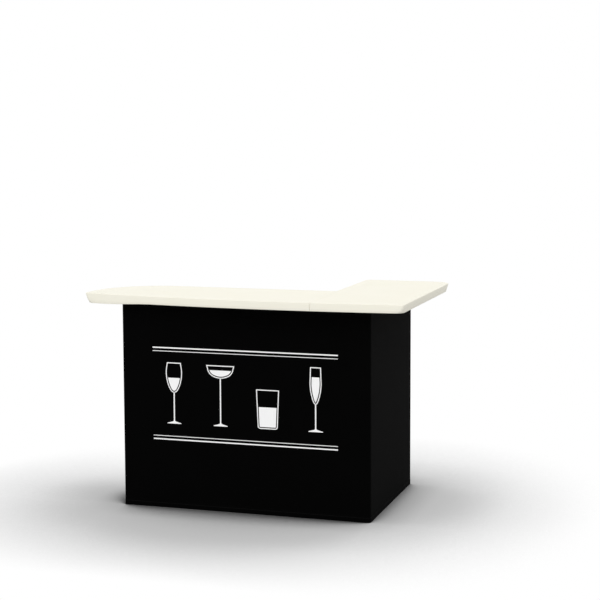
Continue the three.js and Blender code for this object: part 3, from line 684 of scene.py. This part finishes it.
# Skirt. Five lengths of black woven polyester are stretched round the frame. A hook and loop band behind
# the top of each one holds it to the connectors, and the cloth is turned up in a stitched hem at the floor.
CLOTH_THICKNESS = 1.2 * MM
CLOTH_CORNER = 14 * MM
LEFT_CORNER = 5 * MM
END_CORNER = 9 * MM
SHEET_GAP = 0.4 * MM
HEM_HEIGHT = 26 * MM
HEM_STEP = 0.5 * MM
HEM_RISE = 0.8 * MM
BAND_HEIGHT = 25 * MM
BAND_DEPTH = 4 * MM
BAND_EDGE = 0.5 * MM
BAND_HOOKS = 1.5 * MM
ROW_SPACING = 40 * MM
COLUMN_SPACING = 30 * MM
RIPPLE_HEIGHT = 0.7 * MM
RIPPLE_LENGTH = 130 * MM
RIPPLE_REACH = 220 * MM
THREAD_SPACING = 1.6 * MM
CLOTH_CLOUD = 300 * MM
STITCH_LENGTH = 4 * MM
STITCH_PITCH = 6 * MM
STITCH_HALF_WIDTH = 0.5 * MM
STITCH_MARGIN = 4 * MM
SKIRT_LEFT, SKIRT_FRONT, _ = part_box("skirt_front")[0]
SKIRT_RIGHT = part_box("skirt_corner")[1].x
SKIRT_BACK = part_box("skirt_end")[1].y
SKIRT_HEM_Z = 1 * MM
SKIRT_TOP_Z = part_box("skirt_front")[1].z
HEM_TOP_Z = SKIRT_HEM_Z + HEM_HEIGHT
BAND_LOW_Z = SKIRT_TOP_Z - BAND_HEIGHT
WRAP_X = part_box("skirt_corner")[0].x
WRAP_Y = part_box("skirt_corner")[1].y
FRONT_START_X = SKIRT_LEFT + LEFT_CORNER + SHEET_GAP
SIDE_END_Y = SKIRT_BACK - END_CORNER - SHEET_GAP

# A point of the floor inside the bar, from which every length of the skirt faces away.
INSIDE_BAR = Vector((200 * MM, 0))

# A wave texture of this scale has one band to the metre.
ONE_BAND = math.pi / 10

# Each length of the skirt by the floor points that it passes, and the corners that differ.
SKIRT_PATHS = {
    "front": [(FRONT_START_X, SKIRT_FRONT), (WRAP_X, SKIRT_FRONT)],
    "corner": [(WRAP_X, SKIRT_FRONT), (SKIRT_RIGHT, SKIRT_FRONT), (SKIRT_RIGHT, WRAP_Y)],
    "side": [(SKIRT_RIGHT, WRAP_Y), (SKIRT_RIGHT, SIDE_END_Y)],
    "left": [
        (SKIRT_LEFT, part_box("skirt_left")[1].y),
        (SKIRT_LEFT, SKIRT_FRONT),
        (SKIRT_LEFT + LEFT_CORNER, SKIRT_FRONT),
    ],
    "end": [
        (SKIRT_RIGHT, SKIRT_BACK - END_CORNER),
        (SKIRT_RIGHT, SKIRT_BACK),
        (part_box("skirt_end")[0].x, SKIRT_BACK),
    ],
}
SKIRT_CORNERS = {"left": LEFT_CORNER, "end": END_CORNER}

# Woven polyester is a deep matt black. Its threads are 0.4 mm apart and are drawn four times as
# coarse here so that they show; a thin sheen lifts it where it is seen at a slant. Rows of stitches in
# a smoother thread hold the hem and the band.
woven_polyester, tree, shader = start_material("woven_polyester")
cloth_map = add_node(tree, "ShaderNodeUVMap", {}, uv_map="cloth")
threads = {"Vector": cloth_map, "Scale": ONE_BAND / THREAD_SPACING}
warp = add_node(tree, "ShaderNodeTexWave", threads, bands_direction="X").outputs["Fac"]
weft = add_node(tree, "ShaderNodeTexWave", threads, bands_direction="Y").outputs["Fac"]
weave = add_node(tree, "ShaderNodeMath", {0: warp, 1: weft}, operation="MULTIPLY")
cloud = add_node(tree, "ShaderNodeTexNoise", {"Vector": cloth_map, "Scale": 1 / CLOTH_CLOUD, "Detail": 3})
tone = add_node(
    tree, "ShaderNodeMix", {MIX_SHARE: cloud, MIX_FROM: "#010101", MIX_TO: "#030303"}, data_type="RGBA"
)
run, height, _ = add_node(tree, "ShaderNodeSeparateXYZ", {"Vector": cloth_map}).outputs
step = add_node(tree, "ShaderNodeMath", {0: run, 1: STITCH_PITCH}, operation="FLOORED_MODULO")
thread = add_node(tree, "ShaderNodeMath", {0: step, 1: STITCH_LENGTH}, operation="LESS_THAN")
rows = [
    add_node(tree, "ShaderNodeMath", {0: height, 1: row_z, 2: STITCH_HALF_WIDTH}, operation="COMPARE")
    for row_z in (HEM_TOP_Z - STITCH_MARGIN, BAND_LOW_Z + STITCH_MARGIN)
]
either_row = add_node(tree, "ShaderNodeMath", {0: rows[0], 1: rows[1]}, operation="MAXIMUM")
stitches = add_node(tree, "ShaderNodeMath", {0: either_row, 1: thread}, operation="MULTIPLY")
stitched_tone = add_node(
    tree, "ShaderNodeMix", {MIX_SHARE: stitches, MIX_FROM: tone, MIX_TO: "#181818"}, data_type="RGBA"
)
gloss = add_node(tree, "ShaderNodeMapRange", {"Value": stitches, "To Min": 0.9, "To Max": 0.45})
raised = add_node(tree, "ShaderNodeMath", {0: weave, 1: stitches}, operation="MAXIMUM")
relief = add_node(tree, "ShaderNodeBump", {"Height": raised, "Strength": 0.35, "Distance": 0.15 * MM})
feed(
    tree,
    shader,
    {
        "Base Color": stitched_tone,
        "Roughness": gloss,
        "Specular IOR Level": 0.03,
        "Sheen Weight": 0.005,
        "Sheen Roughness": 0.4,
        "Normal": relief,
    },
)

# Hook and loop band is a dull black pile of small nylon loops, a little greyer than the cloth.
hook_and_loop, tree, shader = start_material("hook_and_loop")
place = add_node(tree, "ShaderNodeTexCoord", {}).outputs["Object"]
pile = add_node(tree, "ShaderNodeTexNoise", {"Vector": place, "Scale": 1 / BAND_HOOKS, "Detail": 2})
tone = add_node(
    tree, "ShaderNodeMix", {MIX_SHARE: pile, MIX_FROM: "#060606", MIX_TO: "#161616"}, data_type="RGBA"
)
relief = add_node(tree, "ShaderNodeBump", {"Height": pile, "Strength": 0.5, "Distance": 0.4 * MM})
feed(tree, shader, {"Base Color": tone, "Roughness": 0.95, "IOR": 1.53, "Normal": relief})


def cut_at(bm, way, spot):
    """Cuts the mesh with a plane across a way, at one place along it."""
    whole = [*bm.verts, *bm.edges, *bm.faces]
    bmesh.ops.bisect_plane(bm, geom=whole, dist=WELD, plane_co=way * spot, plane_no=way)


def cut_evenly(bm, way, first, last, spacing):
    """Cuts the mesh across a way into even lengths, between two places along it."""
    count = math.ceil(abs(last - first) / spacing)
    for step in range(1, count):
        cut_at(bm, way, first + (last - first) * step / count)


def stand_cloth(path, corner):
    """A mesh of cloth that stands along a path of floor points, rounded where the path turns."""
    bm = bmesh.new()
    points = [bm.verts.new((x, y, SKIRT_HEM_Z)) for x, y in path]
    foot = [bm.edges.new(pair) for pair in zip(points, points[1:])]
    raised = bmesh.ops.extrude_edge_only(bm, edges=foot)["geom"]
    top = [item for item in raised if isinstance(item, bmesh.types.BMVert)]
    bmesh.ops.translate(bm, vec=UP * (SKIRT_TOP_Z - SKIRT_HEM_Z), verts=top)
    soften(bm, [edge for edge in edges_along(bm, UP) if len(edge.link_faces) == 2], corner, steps=6)
    for start, end in zip(path, path[1:]):
        for way, first, last in zip((EAST, NORTH), start, end):
            if abs(last - first) > 2 * COLUMN_SPACING:
                cut_evenly(bm, way, first, last, COLUMN_SPACING)
    cut_evenly(bm, UP, SKIRT_HEM_Z, SKIRT_TOP_Z, ROW_SPACING)
    for level in (HEM_TOP_Z, HEM_TOP_Z + HEM_RISE, BAND_LOW_Z):
        cut_at(bm, UP, level)
    return bm


def floor_place(vert):
    """Where a point of the cloth stands on the floor, to a hundredth of a millimetre."""
    return vert.co.xy.to_tuple(5)


def measure_runs(bm, path):
    """How far along its path the cloth has run at each floor place."""
    onward = Vector(path[-1]) - Vector(path[0])
    foot = [vert for vert in bm.verts if vert.co.z < SKIRT_HEM_Z + WELD]
    foot.sort(key=lambda vert: onward.dot(vert.co.xy))
    runs = {floor_place(foot[0]): 0}
    for before, vert in zip(foot, foot[1:]):
        runs[floor_place(vert)] = runs[floor_place(before)] + (vert.co - before.co).length
    return runs


def hang_cloth(name, node, path, corner):
    """A length of the skirt along a path, with its hem, its ripple and its band; and its flat width."""
    bm = stand_cloth(path, corner)
    runs = measure_runs(bm, path)
    width = max(runs.values())
    cloth_layer = bm.loops.layers.uv.new("cloth")
    for face in bm.faces:
        for loop in face.loops:
            loop[cloth_layer].uv = (runs[floor_place(loop.vert)], loop.vert.co.z)

    bm.normal_update()
    inwards = [f for f in bm.faces if f.normal.xy.dot(f.calc_center_median().xy - INSIDE_BAR) < 0]
    bmesh.ops.reverse_faces(bm, faces=inwards)
    bm.normal_update()
    moves = {}
    for vert in bm.verts:
        run = runs[floor_place(vert)]
        edge_gap = min(run, width - run)
        slack = max(0, 1 - (vert.co.z - SKIRT_HEM_Z) / RIPPLE_REACH) * min(1, edge_gap / RIPPLE_LENGTH)
        wave = 0.5 - 0.5 * math.cos(2 * math.pi * run / RIPPLE_LENGTH)
        turned_up = HEM_STEP if vert.co.z < HEM_TOP_Z + HEM_RISE / 2 else 0
        moves[vert] = vert.normal * (RIPPLE_HEIGHT * slack * wave + turned_up)
    for vert, move in moves.items():
        vert.co += move

    back = bmesh.ops.solidify(bm, geom=bm.faces[:], thickness=CLOTH_THICKNESS)["geom"]
    bmesh.ops.recalc_face_normals(bm, faces=bm.faces[:])
    back_faces = [item for item in back if isinstance(item, bmesh.types.BMFace)]
    flat_back = [face for face in back_faces if max(map(abs, face.normal.xy)) > SQUARE_ON]
    band = [face for face in flat_back if face.calc_center_median().z > BAND_LOW_Z]
    for face in [*inset(bm, band, BAND_EDGE, BAND_DEPTH), *band]:
        face.material_index = 1
    cloth = show_piece(bm, name, node, [woven_polyester, hook_and_loop])
    return cloth, width


skirt = {}
skirt_widths = {}
for part, path in SKIRT_PATHS.items():
    corner = SKIRT_CORNERS.get(part, CLOTH_CORNER)
    skirt[part], skirt_widths[part] = hang_cloth(f"skirt_{part}_cloth", f"skirt_{part}", path, corner)
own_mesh(skirt["front"])
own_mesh(skirt["side"])

# Print. A plain row of glasses between double rules is screen printed in white on the front of the
# skirt. The ink lies on the cloth as a thin film that takes up some of its weave.
INK_THICKNESS = 0.15 * MM
INK_GAP = 0.05 * MM
INK_LINE = 4.5 * MM
INK_SPACE = 5 * MM
GLASS_SPACING = 240 * MM
GLASS_BASE_Z = 420 * MM
GLASS_STEM_HALF = 3 * MM
GLASS_FOOT_HALF = 36 * MM
GLASS_FOOT_RISE = 6 * MM
BOWL_STEPS = 8
STEM_STEPS = 4
FOOT_STEPS = 3
RULE_HALF = 470 * MM

# The rules from the lowest up, each by the height of its lower edge and by its thickness.
RULES = ((338 * MM, 6 * MM), (356 * MM, 3 * MM), (773 * MM, 3 * MM), (788 * MM, 6 * MM))

# Each bowl in millimetres from the rim down: how far its outline stands from the middle, how high above
# the base, and how round that corner is. The drink fills it to the level.
GLASSES = [
    {"bowl": [(36, 300, 0), (50, 215, 55), (0, 132, 40)], "level": 225, "stem": True},
    {"bowl": [(72, 296, 0), (60, 250, 22), (0, 226, 32)], "level": 272, "stem": True},
    {"bowl": [(58, 190, 0), (50, 0, 12)], "level": 105, "stem": False},
    {"bowl": [(27, 310, 0), (31, 190, 45), (0, 112, 35)], "level": 262, "stem": True},
]

# Screen ink is a chalky white that is not quite closed over the weave.
screen_ink, tree, shader = start_material("screen_ink")
place = add_node(tree, "ShaderNodeTexCoord", {}).outputs["Object"]
cover = add_node(tree, "ShaderNodeTexNoise", {"Vector": place, "Scale": 1 / THREAD_SPACING, "Detail": 2})
tone = add_node(
    tree, "ShaderNodeMix", {MIX_SHARE: cover, MIX_FROM: "#f4f4f4", MIX_TO: "#ffffff"}, data_type="RGBA"
)
relief = add_node(tree, "ShaderNodeBump", {"Height": cover, "Strength": 0.2, "Distance": 0.1 * MM})
feed(tree, shader, {"Base Color": tone, "Roughness": 0.65, "IOR": 1.5, "Normal": relief})


def round_corners(bm, known, corners, z=0):
    """Rounds the corners, each (x, y, radius, steps), of the one face that is not known yet."""
    for x, y, radius, steps in corners:
        if radius:
            spot = Vector((x, y, z))
            face = next(face for face in bm.faces if face not in known)
            corner = min(face.verts, key=lambda vert: (vert.co - spot).length)
            bmesh.ops.bevel(
                bm,
                geom=[corner],
                offset=radius,
                offset_type="OFFSET",
                affect="VERTICES",
                segments=steps,
                profile=0.5,
                material=-1,
            )
    return next(face for face in bm.faces if face not in known)


def outlined_face(bm, corners):
    """A flat face from a few corners, each (x, y, radius, steps), with the corners rounded."""
    known = set(bm.faces)
    bm.faces.new([bm.verts.new((x, y, 0)) for x, y, radius, steps in corners])
    return round_corners(bm, known, corners)


def mirrored(half):
    """An outline from its right half, whose corners on the middle line are not repeated."""
    return half + [(-x, y, radius, steps) for x, y, radius, steps in reversed(half) if x > 0]


def add_glass(bm, glass, centre_x):
    """One glass in the print: a lined bowl, the drink in it, and a stem with its foot."""
    known = set(bm.verts)
    half_bowl = [(x * MM, y * MM, radius * MM, BOWL_STEPS) for x, y, radius in glass["bowl"]]
    bowl = outlined_face(bm, mirrored(half_bowl))
    stem_top = min(vert.co.y for vert in bowl.verts) + INK_LINE / 2
    inset(bm, [bowl], INK_LINE)
    gap = inset(bm, [bowl], INK_SPACE)
    bmesh.ops.delete(bm, geom=gap, context="FACES_ONLY")
    drink = [bowl, *bowl.edges, *bowl.verts]
    level = NORTH * glass["level"] * MM
    bmesh.ops.bisect_plane(bm, geom=drink, plane_co=level, plane_no=NORTH, clear_outer=True)
    if glass["stem"]:
        half_stem = [
            (GLASS_FOOT_HALF, 0, 0, 0),
            (GLASS_FOOT_HALF, GLASS_FOOT_RISE / 2, GLASS_FOOT_RISE / 3, FOOT_STEPS),
            (GLASS_STEM_HALF, GLASS_FOOT_RISE * 2, GLASS_FOOT_RISE, STEM_STEPS),
            (GLASS_STEM_HALF, stem_top, 0, 0),
        ]
        outlined_face(bm, mirrored(half_stem))
    made = [vert for vert in bm.verts if vert not in known]
    bmesh.ops.translate(bm, vec=EAST * centre_x, verts=made)


def add_rules(bm, first_x, last_x):
    """The double rules above and below the glasses, over one stretch."""
    for low_z, height in RULES:
        low_y = low_z - GLASS_BASE_Z
        high_y = low_y + height
        corners = [(first_x, low_y), (last_x, low_y), (last_x, high_y), (first_x, high_y)]
        outlined_face(bm, [(x, y, 0, 0) for x, y in corners])


printed = {}
upright = Matrix.Rotation(math.pi / 2, 4, "X")
onto_cloth = Matrix.Translation((0, SKIRT_FRONT - INK_GAP, GLASS_BASE_Z)) @ upright
for part, glasses, first_x, last_x in (
    ("front", GLASSES[:3], -RULE_HALF, WRAP_X),
    ("corner", GLASSES[3:], WRAP_X, RULE_HALF),
):
    bm = bmesh.new()
    for glass in glasses:
        place_in_row = GLASSES.index(glass) - (len(GLASSES) - 1) / 2
        add_glass(bm, glass, place_in_row * GLASS_SPACING)
    add_rules(bm, first_x, last_x)
    bmesh.ops.delete(bm, geom=[edge for edge in bm.edges if not edge.link_faces], context="EDGES")
    bmesh.ops.recalc_face_normals(bm, faces=bm.faces[:])
    film = bmesh.ops.extrude_face_region(bm, geom=bm.faces[:])["geom"]
    raised = [item for item in film if isinstance(item, bmesh.types.BMVert)]
    bmesh.ops.translate(bm, vec=UP * INK_THICKNESS, verts=raised)
    bmesh.ops.transform(bm, matrix=onto_cloth, verts=bm.verts[:])
    bmesh.ops.recalc_face_normals(bm, faces=bm.faces[:])
    printed[part] = link_mesh(bm, f"print_{part}", [screen_ink])
    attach(printed[part], "tower")
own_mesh(printed["front"])

# Counter panels. Each is a moulded polyethylene shell, open below, with a bowed front and a nearly upright
# edge that deepens towards the left end. The upper arris is round, and the two panels meet at a fine seam.
COUNTER_TOP = cad_box[1].z
COUNTER_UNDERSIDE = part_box("main_top_base")[0].z
SEAM_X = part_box("main_top_shell")[1].x
SEAM_HALF_GAP = 0.5 * MM
SEAM_ARRIS = 1.5 * MM
STEP_GAP = 0.6 * MM
STEP_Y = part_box("main_top_shell")[1].y + STEP_GAP
BOW_APEX_X = 159 * MM
BOW_APEX_Y = -523 * MM
BOW_RADIUS = 5360 * MM
BOW_BEHIND_Y = -300 * MM
BOW_CUTS = 19
RETURN_BOW_CUTS = 7
END_FLARE = 9.5 * MM
RETURN_FLARE = 7 * MM
FRONT_FLARE = 5 * MM
INNER_FLARE = 9 * MM
FRONT_CORNER_TOP = 12 * MM
FRONT_CORNER_LOW = 38 * MM
MAIN_BACK_CORNER = 320 * MM
RETURN_BACK_CORNER_TOP = 85 * MM
RETURN_BACK_CORNER_LOW = 105 * MM
RETURN_INNER_CORNER = 30 * MM
CORNER_STEPS = 8
RETURN_BACK_STEPS = 16
MAIN_BACK_STEPS = 32
WALL_LOW = 5 * MM
WALL_TOP = 12 * MM
TOP_SKIN = 5 * MM
LIP_DROP = 9.5 * MM
LIP_DROP_FROM_X = -440 * MM
LIP_DROP_TO_X = -700 * MM
TOP_ARRIS = 1.8 * MM
TOP_BAND = 2.5 * MM
LIP_ARRIS = 1.5 * MM
LIP_CURL = 10 * MM
LIP_RISE = 0.4 * MM
TOP_MARGIN = 2 * MM

# The outlines of a panel from its top down to its lip, and from there back up inside. At each, the edge
# leans in and the corners turn wider by a share of what they do at the lip, inside a wall's thickness.
PANEL_LEVELS = (
    {"z": COUNTER_TOP, "lean": 0, "turn": 0, "wall": 0},
    {"z": COUNTER_TOP - TOP_BAND, "lean": 0, "turn": 0, "wall": 0},
    {"z": COUNTER_UNDERSIDE + LIP_CURL, "lean": 0.7, "turn": 0.15, "wall": 0},
    {"z": COUNTER_UNDERSIDE, "lean": 1, "turn": 1, "wall": 0},
    {"z": COUNTER_UNDERSIDE + LIP_RISE, "lean": 1, "turn": 1, "wall": WALL_LOW},
    {"z": COUNTER_TOP - TOP_SKIN, "lean": 0, "turn": 0, "wall": WALL_TOP},
)
TOP_LEVEL = 0
LIP_LEVEL = 3


def bow_y(x):
    """Where the counter's bowed front edge runs."""
    return BOW_APEX_Y + (x - BOW_APEX_X) ** 2 / (2 * BOW_RADIUS)


def between(first, last, share):
    """A length part of the way from one to another."""
    return first + (last - first) * share


def main_corners(lean, turn, wall):
    """The corners, each (x, y, radius, steps), of the main panel's outline at one level."""
    low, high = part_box("main_top_shell")
    front = wall + FRONT_FLARE * lean
    front_corner = between(FRONT_CORNER_TOP, FRONT_CORNER_LOW, turn) - wall / 2
    left = low.x + wall + END_FLARE * lean
    seam = SEAM_X - SEAM_HALF_GAP - wall
    back = high.y - wall - END_FLARE * lean
    return [
        (left, bow_y(left) + front, front_corner, CORNER_STEPS),
        (seam, bow_y(seam) + front, 0, 0),
        (seam, back, 0, 0),
        (left, back, MAIN_BACK_CORNER - wall - END_FLARE * lean, MAIN_BACK_STEPS),
    ]


def return_corners(lean, turn, wall):
    """The corners of the return panel's outline at one level, given in the same way."""
    low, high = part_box("return_top_shell")
    front = wall + FRONT_FLARE * lean
    front_corner = between(FRONT_CORNER_TOP, FRONT_CORNER_LOW, turn) - wall / 2
    back_corner = between(RETURN_BACK_CORNER_TOP, RETURN_BACK_CORNER_LOW, lean) - wall
    seam = SEAM_X + SEAM_HALF_GAP + wall
    step = STEP_Y + wall
    right = high.x - wall - RETURN_FLARE * lean
    back = high.y - wall - RETURN_FLARE * lean
    inner = low.x + wall + INNER_FLARE * lean
    return [
        (seam, bow_y(seam) + front, 0, 0),
        (right, bow_y(right) + front, front_corner, CORNER_STEPS),
        (right, back, back_corner, RETURN_BACK_STEPS),
        (inner, back, RETURN_INNER_CORNER - wall, CORNER_STEPS),
        (inner, step, 0, 0),
        (seam, step, 0, 0),
    ]


def panel_ring(bm, corners, cuts, z):
    """A level face with a panel's outline at one height, its front edge bowed."""
    known = set(bm.faces)
    points = [bm.verts.new((x, y, z)) for x, y, radius, steps in corners]
    bm.faces.new(points)
    bmesh.ops.subdivide_edges(bm, edges=[bm.edges.get(points[:2])], cuts=cuts)
    (first_x, first_y, *_), (last_x, *_) = corners[:2]
    front_set_in = first_y - bow_y(first_x)
    for vert in next(face for face in bm.faces if face not in known).verts:
        if first_x + MM < vert.co.x < last_x - MM and vert.co.y < BOW_BEHIND_Y:
            vert.co.y = bow_y(vert.co.x) + front_set_in
    return round_corners(bm, known, corners, z)


def at_seam(edge):
    """Whether an edge lies where the two panels meet side by side."""
    return all(abs(vert.co.x - SEAM_X) < 2 * SEAM_HALF_GAP for vert in edge.verts)


def at_step(edge):
    """Whether an edge lies where the return panel passes behind the main one."""
    return all(abs(vert.co.y - STEP_Y) < STEP_GAP / 2 for vert in edge.verts)


def mould_panel(name, node, corners_of, cuts):
    """One counter panel, moulded through its outlines from the top down and back up inside."""
    bm = bmesh.new()
    rings = []
    for level in PANEL_LEVELS:
        corners = corners_of(level["lean"], level["turn"], level["wall"])
        rings.append(panel_ring(bm, corners, cuts, level["z"]))
    loops = [list(ring.edges) for ring in rings]
    bmesh.ops.delete(bm, geom=rings[1:-1], context="FACES_ONLY")
    for loop, next_loop in zip(loops, loops[1:]):
        bmesh.ops.bridge_loops(bm, edges=loop + next_loop)
    bmesh.ops.recalc_face_normals(bm, faces=bm.faces[:])

    for rim, radius, steps in ((TOP_LEVEL, TOP_ARRIS, 5), (LIP_LEVEL, LIP_ARRIS, 2)):
        free = [edge for edge in loops[rim] if not at_seam(edge) and not at_step(edge)]
        soften(bm, free, radius, steps)
    front_of_seam = bow_y(SEAM_X) + FRONT_FLARE + WALL_LOW / 2
    seam_low = COUNTER_UNDERSIDE + LIP_ARRIS / 2
    seam_high = COUNTER_TOP - TOP_ARRIS / 2
    seam_arris = []
    for edge in bm.edges:
        height = sum(vert.co.z for vert in edge.verts) / 2
        in_front = max(vert.co.y for vert in edge.verts) < front_of_seam
        if at_seam(edge) and in_front and seam_low < height < seam_high:
            seam_arris.append(edge)
    soften(bm, seam_arris, SEAM_ARRIS, steps=2)

    for vert in bm.verts:
        if vert.co.z < COUNTER_UNDERSIDE + 2 * LIP_ARRIS:
            share = min(1, max(0, (LIP_DROP_FROM_X - vert.co.x) / (LIP_DROP_FROM_X - LIP_DROP_TO_X)))
            eased = share**2 * (3 - 2 * share)
            vert.co.z -= LIP_DROP * eased
    bm.normal_update()
    inset(bm, [face_towards(bm, UP)], TOP_MARGIN)
    show_piece(bm, name, node, [moulded_polyethylene], crease_degrees=40)


mould_panel("main_counter_panel", "main_top_shell", main_corners, BOW_CUTS)
mould_panel("return_counter_panel", "return_top_shell", return_corners, RETURN_BOW_CUTS)
for node in ("main_top_base", "return_top_base"):
    base = frame["nodes"][node]
    base.data.materials.clear()
    base.data.materials.append(moulded_polyethylene)

# Floor and light. The bar stands on a plain white floor under an even white sky, with a broad soft
# lamp in front of it that leaves the right end in half shade.
FLOOR_HALF = 60
SHADE_SAMPLES = 24
SKY_STRENGTH = 0.752
LAMP_WAY = Vector((0.04, -0.75, 0.66))
LAMP_SPREAD = math.radians(50)
LAMP_STRENGTH = 1.2

# Each painted floor shade by how far it reaches, how far it leans, and the floor's colour from closed in to
# open.
BROAD_SHADE = {
    "reach": 1.1,
    "lean": (0.25, 0, 0),
    "stops": {
        0.2: "#3a3a3a",
        0.5: "#6a6a6a",
        0.56: "#9a9a9a",
        0.62: "#b0b0b0",
        0.7: "#bbbbbb",
        0.78: "#bebebe",
        0.85: "#cecece",
        0.92: "#e5e5e5",
        0.97: "#f1f1f1",
        1: "#ffffff",
    },
}
CONTACT_SHADE = {
    "reach": 0.2,
    "lean": (0, 0, 0),
    "stops": {0.5: "#929292", 0.6: "#cccccc", 0.7: "#e6e6e6", 0.9: "#f6f6f6", 1: "#ffffff"},
}


def add_seen_share(tree):
    """One where the background is looked at, in a mirror or through glass too, and nought for its light."""
    rays = add_node(tree, "ShaderNodeLightPath", {}).outputs
    share = rays["Is Camera Ray"]
    for kind in ("Is Glossy Ray", "Is Transmission Ray"):
        share = add_node(tree, "ShaderNodeMath", {0: share, 1: rays[kind]}, operation="MAXIMUM")
    return share


# Painted studio floor throws a soft light back up. Looked at, it glows white with shade painted in from its
# ambient occlusion:
# a broad painted shade that leans a little to the left, and a narrow dark painted shade where the skirt
# comes down to it.
studio_floor, tree, shader = start_material("studio_floor")
feed(tree, shader, {"Base Color": "#c8c8c8", "Roughness": 1, "Specular IOR Level": 0})
level = add_node(tree, "ShaderNodeNewGeometry", {}).outputs["Normal"]
shades = []
for kind in (BROAD_SHADE, CONTACT_SHADE):
    leaning = add_node(tree, "ShaderNodeVectorMath", {0: level, 1: kind["lean"]}, operation="ADD")
    bright_way = add_node(tree, "ShaderNodeVectorMath", {0: leaning}, operation="NORMALIZE")
    openness = add_node(
        tree,
        "ShaderNodeAmbientOcclusion",
        {"Distance": kind["reach"], "Normal": bright_way},
        samples=SHADE_SAMPLES,
    )
    shade = add_node(tree, "ShaderNodeValToRGB", {"Fac": openness.outputs["AO"]})
    stops = shade.color_ramp.elements
    while len(stops) < len(kind["stops"]):
        stops.new(1)
    for stop, (position, colour) in zip(stops, kind["stops"].items()):
        stop.position = position
        stop.color = linear(colour)
    shades.append(shade)
both = add_node(tree, "ShaderNodeVectorMath", {0: shades[0], 1: shades[1]}, operation="MULTIPLY")
# Where the floor is looked at, it glows with the painted shade instead of being lit.
seen_floor = add_node(tree, "ShaderNodeEmission", {"Color": both, "Strength": 1})
either = add_node(tree, "ShaderNodeMixShader", {0: add_seen_share(tree), 1: shader, 2: seen_floor})
feed(tree, tree.nodes["Material Output"], {"Surface": either})

bm = bmesh.new()
bmesh.ops.create_grid(bm, x_segments=1, y_segments=1, size=FLOOR_HALF)
link_mesh(bm, "floor", [studio_floor])

world = bpy.data.worlds.new("studio")
scene.world = world
world.use_nodes = True
tree = world.node_tree
sky_light = {"Value": add_seen_share(tree), "To Min": SKY_STRENGTH, "To Max": 1}
strength = add_node(tree, "ShaderNodeMapRange", sky_light)
feed(tree, tree.nodes["Background"], {"Color": "#ffffff", "Strength": strength})

lamp = bpy.data.objects.new("soft_lamp", bpy.data.lights.new("soft_lamp", "SUN"))
scene.collection.objects.link(lamp)
lamp.rotation_euler = (-LAMP_WAY).to_track_quat("-Z", "Y").to_euler()
lamp.data.angle = LAMP_SPREAD
lamp.data.energy = LAMP_STRENGTH
